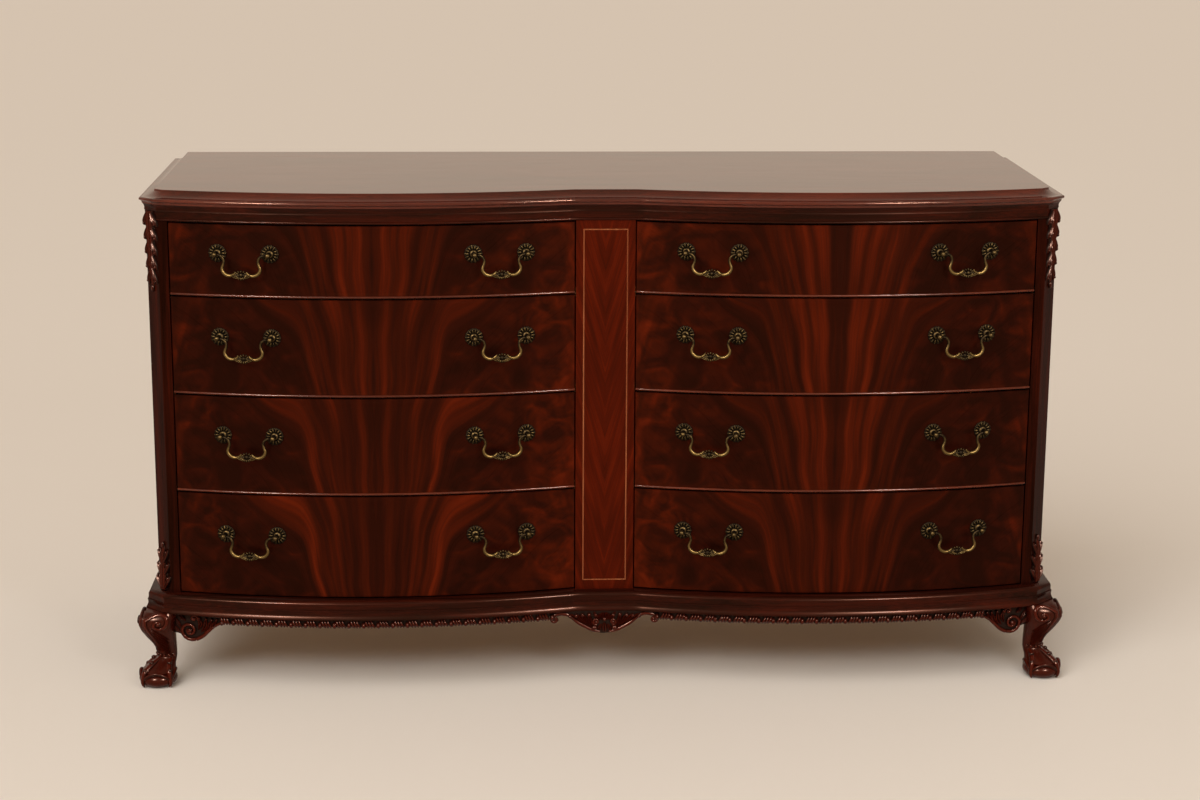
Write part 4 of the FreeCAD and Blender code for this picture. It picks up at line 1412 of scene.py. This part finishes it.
@dataclass
class KneeBracket:
    """Scrolled bracket beside a knee: a volute with leaves that run out to a bead."""

    tip: float = 676.0
    end: float = 768.0
    top: float = 137.0
    sunk: float = -9.0
    ground: float = 7.0
    side_shift: float = 579.5
    lower_edge: Table = (
        (676, 120.5), (690, 114.5), (702, 103), (712, 93.5), (722, 87.2), (732, 85.6), (743, 88.6),
        (751, 94.6), (758, 97.6), (768, 98),
    )
    roll: Table = (
        (679, 121.5, 2.4), (692, 115, 3.0), (704, 104, 3.3), (714, 94.5, 3.5), (725, 88.4, 3.5),
    )
    fingers: Table = (
        (721, 106, 717, 117, 719, 127, 4.6), (716, 102, 709, 113, 707, 126, 4.6),
        (710, 102.5, 702, 112, 697, 125, 4.2), (703, 107, 695, 114.5, 688, 125.5, 3.6),
    )
    sprigs: Table = (
        (744, 121, 750, 127, 755, 132.5), (752, 108, 757, 116, 762, 126), (754, 101, 760, 105, 766, 112),
    )

    def build(self, wood: Material) -> None:
        """Build the brackets of both front legs, on the front and on the sides.

        Args:
            wood: Finish of the brackets.
        """
        carver = Carver()
        for bank in Bank:
            carver.place = PLAN.on_bow(bank)
            self.carve(carver)
            carver.place = self.on_side(bank)
            self.carve(carver)
        carver.finish("carved_brackets", wood, CASE, ["knee_brackets"], crease=60)

    def on_side(self, bank: Bank) -> Callable[[Vector], Vector]:
        """Give the map that lays a bracket along the side of the case instead of its front."""
        return lambda p: Vector((bank.value * (PLAN.half_width + p.z), self.side_shift - p.x, p.y))

    def carve(self, carver: Carver) -> None:
        """Carve one bracket, drawn along the front with its leg at the right.

        Args:
            carver: Mesh that takes the bracket.
        """
        outline = [(self.tip, self.top), *spline(self.lower_edge, 4), (self.end, self.top)]
        # The board is painted in shade behind the carving
        carver.sweep([
            [(x, level, reach, 0.0) for x, level in outline] for reach in (self.sunk, self.ground)
        ])
        face = self.ground
        carver.rod([(x, level, face + 1, thick) for x, level, thick in self.roll])
        carver.scroll((737, 104.6, face + 1), (19.4, 3.2), 1.5, 236, (3.6, 2.2), 3, 5.0)
        for root_x, root, middle_x, middle, top_x, top, half in self.fingers:
            carver.leaf((
                (root_x, root, face, 1.2, 1.0), (middle_x, middle, face + 1, half, 3.8),
                ((middle_x + top_x) / 2, (middle + top) / 2, face + 2, half, 3.8),
                (top_x, top, face + 1, 1.4, 1.6),
            ), depth=3)
            carver.ball((top_x, top + 1.5, face + 2), (2.6, 3.0, 3.2), (8, 6))
        carver.scroll((728.5, 127.2, face + 1.5), (7.6, 1.6), -1.2, 200, (2.7, 1.6), 1.5, 2.4)
        for sprig in self.sprigs:
            carver.leaf((
                (*sprig[:2], face, 1.4, 1.2), (*sprig[2:4], face + 1, 3.8, 3.2),
                (*sprig[4:], face, 1.2, 1.2),
            ), depth=3)
        carver.ball((679, 121.8, face + 2), (4.4, 4.8, 4.6))


@dataclass
class CornerCarving:
    """Acanthus carving on both canted corners: a drop below the top and a leaf above the base."""

    drop: tuple[float, float, int] = (853.0, 713.0, 5)
    leaf: tuple[float, float, int] = (174.0, 260.0, 3)
    body: Table = ((0.0, 8.4, 7.6), (0.25, 9.6, 8.0), (0.55, 7.6, 5.8), (0.8, 5.4, 4.0), (1.0, 1.6, 1.8))
    rib: Table = ((0.0, 5.6, 1.5), (0.25, 6.0, 1.7), (0.6, 4.0, 1.4), (0.95, 1.4, 0.8))

    def build(self, wood: Material) -> None:
        """Carve the four leaves.

        Args:
            wood: Finish of the carving.
        """
        carver = Carver()
        for bank in Bank:
            carver.place = PLAN.on_cant(bank)
            self.carve(carver, *self.drop)
            self.carve(carver, *self.leaf)
        carver.finish("carved_corners", wood, CASE, ["corner_carvings"], crease=60)

    def carve(self, carver: Carver, root: float, tip: float, pairs: int) -> None:
        """Carve one acanthus from its broad root to its bud.

        Args:
            carver: Mesh that takes the carving.
            root: Level of the broad end.
            tip: Level of the pointed end.
            pairs: Pairs of lobes along it.
        """
        length = tip - root
        way = 1 if length > 0 else -1
        step = length / (pairs + 0.6)
        body = [(0, root + length * share, 0, half, rise) for share, half, rise in self.body]
        carver.leaf(body, steps=6)
        rib = [(0, root + length * share, lift, thick) for share, lift, thick in self.rib]
        carver.rod(rib, steps=6)
        for number in range(pairs):
            taper = 1.1 - 0.4 * number / pairs
            level = root + step * number
            lift = 3.0 * taper
            for side in (1, -1):
                carver.leaf((
                    (side * 3.6 * taper, level, lift + 1.6, 1.2, 0.8),
                    (side * 7.6 * taper, level + step * 0.36, lift + 1.2, 3.6 * taper, 2.6 * taper),
                    (side * 12.4 * taper, level + step * 0.76, lift, 4.2 * taper, 3.4 * taper),
                    (side * 15.0 * taper, level + step * 1.06, lift - 1.6, 1.4 * taper, 1.2),
                ), depth=4)
                bud = (side * 12.8 * taper, level + step * 0.9, lift + 1.4)
                carver.ball(bud, (2.6 * taper, 3.2 * taper, 2.6), (8, 6))
                carver.leaf((
                    (side * 3.4 * taper, level + step * 0.5, lift + 1.8, 0.8, 0.6),
                    (side * 5.6 * taper, level + step * 0.8, lift + 1.6, 2.0 * taper, 1.8 * taper),
                    (side * 8.2 * taper, level + step * 1.1, lift + 0.8, 0.8, 0.8),
                ))
        carver.ball((0, tip - way * 5, 1.6), (3.2, 6.4, 3.4), (10, 8))


@dataclass
class Pull:
    """Cast pull of a drawer: two pierced rosettes on studs, and a swan-neck bail between them."""

    bank: Bank
    row: Row
    spread_angle: float = 9.111
    post_angle: float = 1.9003
    pivot: float = 20.0
    sag: float = 0.77
    seat: float = 0.1
    height_share: float = 0.61
    petals: int = 14
    # Radius, height and relief, painted as shade where low and as light where high
    rosette: Table = (
        (0, -27.6, 0.3), (2.6, -27.6, 0.4), (3, -27.2, 0.4), (3, -24.7, 0.4), (6.2, -24.7, 0.5),
        (6.5, -24.3, 0.6), (6.5, -20.6, 0.5), (3, -20.4, 0.3), (3, 0, 0.2), (15.2, 0, 0.2),
        (15.6, 1.0, 0.3), (14.8, 1.9, 0.4), (13.0, 2.2, 0.45), (12.2, 1.5, 0.05), (8.2, 1.3, 0.0),
        (7.4, 2.0, 0.2),
        (6.4, 3.8, 0.6), (5.0, 4.8, 0.75), (3.6, 5.2, 0.4), (2.9, 6.2, 0.2), (2.8, 13.8, 0.3),
        (3.4, 14.8, 0.5), (4.7, 17.2, 0.5), (5.0, 19.8, 0.6), (4.4, 22.4, 0.65), (2.6, 24.2, 0.7),
        (0, 24.8, 0.7),
    )
    # Across, level, height, radius and a factor on the painted light, brightest on the lower bend as a
    # painted highlight
    neck: Table = (
        (44.6, 0, 0, 1.5, 0.5), (41, 0, 0, 1.6, 0.5), (40.4, 0, 0, 2.3, 0.5), (36.6, -0.6, 0, 2.4, 0.6),
        (31.8, -4.4, 0, 2.5, 0.65), (29.8, -11, 0, 2.4, 0.7), (31.4, -17.5, 0, 2.5, 0.85),
        (33.2, -23, 0, 2.7, 1.1), (31.6, -29, 0, 3.0, 1.25), (26.4, -33.8, 0, 3.2, 1.25),
        (19.6, -35.4, 0, 3.0, 1.2), (13.4, -33.4, 0.4, 2.5, 1.0), (10, -30, 1.2, 1.8, 0.9),
        (10.4, -28, 1.8, 0.9, 0.8),
    )
    grip_leaf: Table = (
        (19, -33, 1.6, 1.0, 0.8), (13, -36, 2.2, 2.6, 1.6), (7.5, -38.4, 1.8, 2.2, 1.4),
        (3.6, -40.4, 0.8, 0.6, 0.5),
    )
    # The last column dims the painted light on the grip
    grip: Table = ((-17, -34, 0, 2.0, 0.6), (0, -34.2, 0, 2.4, 0.6), (17, -34, 0, 2.0, 0.6))

    @property
    def level(self) -> float:
        """Height of the posts."""
        low, height = self.row.value
        return low + height * self.height_share

    def facing(self, angle: float, reach: float) -> Callable[[Vector], Vector]:
        """Give the map that lays work square to the bow.

        Args:
            angle: Turn about the bow's axis, in degrees.
            reach: Distance of the work's ground in front of the drawer.

        Returns:
            Map from across, up and outward to the row frame.
        """
        turn = math.radians(angle)
        outward = Vector((math.sin(turn), -math.cos(turn), 0))
        across = Vector((math.cos(turn), math.sin(turn), 0))
        middle = Vector((self.bank.value * PLAN.bow_middle, PLAN.bow_axis, self.level))
        ground = middle + outward * (PLAN.bow_radius + reach)
        return lambda p: ground + outward * p.z + across * p.x + Vector((0, 0, p.y))

    def build(self, brass: Material) -> None:
        """Build the rosettes of the drawer and its two bails.

        Args:
            brass: Finish of the castings.
        """
        drawer = "drawer_%s_%s" % (self.bank.word, self.row.word)
        plates = Carver()
        for place in PullPlace:
            middle = self.bank.value * place.value * self.spread_angle
            for post in (-1, 1):
                plates.place = self.facing(middle + post * self.post_angle, self.seat)
                self.cast_rosette(plates)
            bail = "bail_%s_%s_%s" % (self.bank.word, self.row.word, place.word)
            carver = Carver()
            carver.place = self.facing(middle, self.pivot - self.sag)
            self.cast_bail(carver)
            carver.finish("cast_" + bail, brass, bail, [bail], crease=60)
        name = "cast_rosettes_" + drawer
        plates.finish(name, brass, drawer, [drawer + "_pulls"], crease=50)

    def cast_rosette(self, carver: Carver) -> None:
        """Turn a rosette with its stud and nut, and set the beads and petals on its face.

        Args:
            carver: Mesh that takes the rosette.
        """
        carver.turned(self.rosette)
        for angle in spread(0, 360, self.petals)[:-1]:
            turn = math.radians(angle)
            way = Vector((math.cos(turn), math.sin(turn)))
            carver.ball((*(way * 11.0), 1.9), (4.6, 2.0, 1.9), (8, 6), angle, 0.72)
            carver.ball((*(way * 14.4), 1.5), (1.9, 2.3, 1.6), (8, 5), angle, 0.62)

    def cast_bail(self, carver: Carver) -> None:
        """Bend the swan-neck bail and set the leaf cluster in its middle.

        Args:
            carver: Mesh that takes the bail.
        """
        for side in (1, -1):
            carver.rod([(side * x, *rest) for x, *rest in self.neck], sides=10, steps=3, low=0.55)
            carver.leaf([(side * x, *rest) for x, *rest in self.grip_leaf])
        carver.rod(self.grip)
        carver.ball((0, -33.6, 1.2), (4.2, 3.8, 3.2), relief=0.6)
        for angle in spread(-165, -15, 6):
            turn = math.radians(angle)
            spot = (8.2 * math.cos(turn), -34.4 + 5.8 * math.sin(turn), 1.0)
            carver.ball(spot, (3.4, 1.8, 2.4), (8, 6), angle, 0.75)
        for angle in spread(20, 160, 4):
            turn = math.radians(angle)
            spot = (7.4 * math.cos(turn), -32.6 + 4.8 * math.sin(turn), 0.9)
            carver.ball(spot, (3.0, 1.7, 2.2), (8, 6), angle, 0.7)


@dataclass
class StileInlay:
    """Stringing let into the face of the stile."""

    half_width: float = 38.9
    low: float = 187.3
    high: float = 821.8
    line: float = 2.1
    proud: float = 0.12
    depth: float = 1.2

    def build(self, wood: Material) -> None:
        """Lay the four mitred lines.

        Args:
            wood: Finish of the lines.
        """
        carver = Carver()
        carver.place = lambda p: Vector((p.x, PLAN.front - p.z, p.y))
        rings = []
        for x_sign, up_sign in ((-1, -1), (1, -1), (1, 1), (-1, 1)):
            level = self.high if up_sign > 0 else self.low
            outer = (x_sign * self.half_width, level)
            inner = (x_sign * (self.half_width - self.line), level - up_sign * self.line)
            rings.append([
                (*outer, -self.depth, SMOOTH), (*outer, self.proud, SMOOTH), (*inner, self.proud, SMOOTH),
                (*inner, -self.depth, SMOOTH),
            ])
        carver.sweep(rings + rings[:1], capped=False)
        carver.finish("stile_stringing", wood, CASE)


@dataclass
class Studio:
    """Pale floor, soft lamps and the camera."""

    floor_half: float = 40.0
    air_tone: str = "#e3d0bb"
    air_light: float = 0.56
    air_shown: float = 0.87
    aim: Spot = (0, 0, 0.45)
    sky_spot: Spot = (-2.0, -3.4, 4.6)
    sky_power: float = 1.6
    sky_spread: float = 50.0
    left_spot: Spot = (-1.9, -3.3, 2.4)
    right_spot: Spot = (1.6, -3.4, 2.3)
    softbox: tuple[float, float] = (0.9, 20)
    bulb: tuple[float, float] = (0.5, 220)
    lens: float = 72.27
    sensor: float = 36.0
    stand: Spot = (-0.1970, -4.3241, 1.5073)
    yaw: float = 0.045799
    pitch: float = 0.236182
    roll: float = -0.005055

    def build(self) -> None:
        """Set up the floor, the world, the lamps and the camera."""
        self.lay_floor()
        self.light()
        self.aim_camera()

    def lay_floor(self) -> None:
        """Lay a wide sheet of paper under the object."""
        mesh = bmesh.new()
        bmesh.ops.create_grid(mesh, x_segments=8, y_segments=8, size=self.floor_half)
        data = bpy.data.meshes.new("studio_floor")
        mesh.to_mesh(data)
        mesh.free()
        data.materials.append(StudioPaper("seamless_studio_paper").material())
        floor = bpy.data.objects.new("studio_floor", data)
        bpy.context.scene.collection.objects.link(floor)

    def light(self) -> None:
        """Hang soft lamps round the object in a pale world."""
        scene = bpy.context.scene
        scene.world = bpy.data.worlds.new("studio_air")
        scene.world.use_nodes = True
        tree = scene.world.node_tree
        air = tree.nodes["Background"]
        air.inputs["Color"].default_value = linear(self.air_tone)
        camera = add_node(tree, "LightPath", out="Is Camera Ray")
        glossy, clear = camera.node.outputs["Is Glossy Ray"], camera.node.outputs["Is Transmission Ray"]
        mirrored = add_node(tree, "Math", {0: glossy, 1: clear}, operation="ADD")
        shown = add_node(tree, "Math", {0: camera, 1: mirrored}, operation="ADD", use_clamp=True)
        strength = add_node(tree, "MapRange", {0: shown, 3: self.air_light, 4: self.air_shown})
        tree.links.new(strength, air.inputs["Strength"])
        sky = bpy.data.lights.new("sky_diffuser", "SUN")
        sky.energy = self.sky_power
        sky.angle = math.radians(self.sky_spread)
        self.hang(sky, self.sky_spot).visible_glossy = False
        for name, spot in (("left", self.left_spot), ("right", self.right_spot)):
            softbox = bpy.data.lights.new(name + "_softbox", "AREA")
            softbox.size, softbox.energy = self.softbox
            self.hang(softbox, spot)
            bulb = bpy.data.lights.new(name + "_bulb", "AREA")
            bulb.shape = "DISK"
            bulb.size, bulb.energy = self.bulb
            self.hang(bulb, spot).visible_diffuse = False
        scene.view_settings.view_transform = "Standard"

    def hang(self, lamp: bpy.types.Light, spot: Spot) -> bpy.types.Object:
        """Hang a lamp and turn it towards the middle of the object.

        Args:
            lamp: Lamp to hang.
            spot: Where it hangs, in metres.

        Returns:
            The object that holds the lamp.
        """
        thing = bpy.data.objects.new(lamp.name, lamp)
        thing.location = spot
        thing.rotation_euler = (Vector(self.aim) - Vector(spot)).to_track_quat("-Z", "Y").to_euler()
        bpy.context.scene.collection.objects.link(thing)
        return thing

    def aim_camera(self) -> None:
        """Stand the camera where the picture was taken from."""
        scene = bpy.context.scene
        data = bpy.data.cameras.new("picture_camera")
        data.lens = self.lens
        data.sensor_width = self.sensor
        camera = bpy.data.objects.new("picture_camera", data)
        level = Vector((math.sin(self.yaw), math.cos(self.yaw), 0))
        right = Vector((math.cos(self.yaw), -math.sin(self.yaw), 0))
        down = Vector((0, 0, -1))
        ahead = level * math.cos(self.pitch) + down * math.sin(self.pitch)
        under = down * math.cos(self.pitch) - level * math.sin(self.pitch)
        across = right * math.cos(self.roll) + under * math.sin(self.roll)
        below = under * math.cos(self.roll) - right * math.sin(self.roll)
        turn = Matrix((across, -below, -ahead)).transposed()
        camera.matrix_world = Matrix.LocRotScale(Vector(self.stand), turn, None)
        scene.collection.objects.link(camera)
        scene.camera = camera


class Palette:
    """Materials of the dresser, each made once and shared by its pieces."""

    def __init__(self) -> None:
        """Make the materials."""
        self.lengthwise = StraightWood("polished_mahogany_lengthwise").material()
        self.upright = StraightWood(
            "polished_mahogany_upright", grain=Grain.UPRIGHT, polish=Polish(level=0.07, tint="#ff8c68")
        ).material()
        self.top = StraightWood(
            "polished_mahogany_top", dark="#340f07", middle="#48160b", light="#5b2011", ribbon=30.0,
            roughness=0.16, polish=Polish(level=0.4, tint="#ffb896", coat=0.34, coat_roughness=0.05),
        ).material()
        # The cock bead is painted paler than the other mahogany, as the light that its rounded edge
        # catches
        self.bead = StraightWood(
            "polished_mahogany_bead", dark="#431407", middle="#54200f", light="#672a17", roughness=0.2,
            polish=Polish(level=0.3, tint="#ffd8c6", coat=0.1),
        ).material()
        self.string = StraightWood(
            "boxwood_stringing", grain=Grain.UPRIGHT, dark="#75391f", middle="#89492b", light="#9b5c39"
        ).material()
        self.plain, self.boards = [
            StraightWood(
                name, grain=grain, dark="#8a6a45", middle="#a5835a", light="#b8976c", roughness=0.6,
                ribbon=34.0, joined=grain is Grain.FRONT_TO_BACK, polish=Polish(level=0.2, tint="#ffffff"),
            ).material()
            for name, grain in (
                ("planed_secondary_wood", Grain.FRONT_TO_BACK),
                ("planed_secondary_boards", Grain.LENGTHWISE),
            )
        ]
        self.flame = FlameMahogany("flame_mahogany_veneer").material()
        self.chevron = ChevronMahogany("chevron_mahogany_veneer").material()
        self.carved = CarvedMahogany("carved_mahogany").material()
        self.brass = AntiqueBrass("antique_cast_brass").material()


@dataclass
class Carcase:
    """Solids of the frame: most stay in sight, the rest are dressed by pieces of their own."""

    plain: tuple[str, ...] = ("center_partition", "drawer_runners")
    boards: tuple[str, ...] = ("back_panel", "drawer_rails", "case_bottom")
    carvings: tuple[str, ...] = ("gadroon_border", "apron_pendant", "knee_brackets", "corner_carvings")

    def dress(self, palette: Palette) -> None:
        """Give every solid its finish.

        Args:
            palette: Materials of the dresser.
        """
        for name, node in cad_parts.items():
            material = self.finish_of(name, palette)
            node.data.materials.clear()
            node.data.materials.append(material)
            LOG.info("%s: dressed in %s", name, material.name)

    def finish_of(self, name: str, palette: Palette) -> Material:
        """Choose the finish of a solid.

        Args:
            name: Name of its node.
            palette: Materials of the dresser.

        Returns:
            Its material.
        """
        if name.endswith("_box") or name in self.plain:
            return palette.plain
        if name in self.boards:
            return palette.boards
        if name.startswith("bail") or name.endswith("_pulls"):
            return palette.brass
        if name in self.carvings or name.startswith("front_leg"):
            return palette.carved
        return palette.chevron if name == "center_stile" else palette.upright


def main() -> None:
    """Build the pieces in order."""
    logging.basicConfig(level=logging.INFO, format="%(name)s: %(message)s")
    palette = Palette()
    Carcase().dress(palette)
    Mouldings().build(palette.lengthwise, palette.top)
    for bank in Bank:
        for row in Row:
            Drawer(bank, row).build(palette.flame, palette.boards, palette.bead)
            Pull(bank, row).build(palette.brass)
        ClawLeg(bank).build(palette.carved)
    for carving in (KneeBracket(), CornerCarving(), GadroonBorder(), ApronPendant()):
        carving.build(palette.carved)
    StileInlay().build(palette.string)
    Studio().build()


if __name__ == "__main__":
    main()
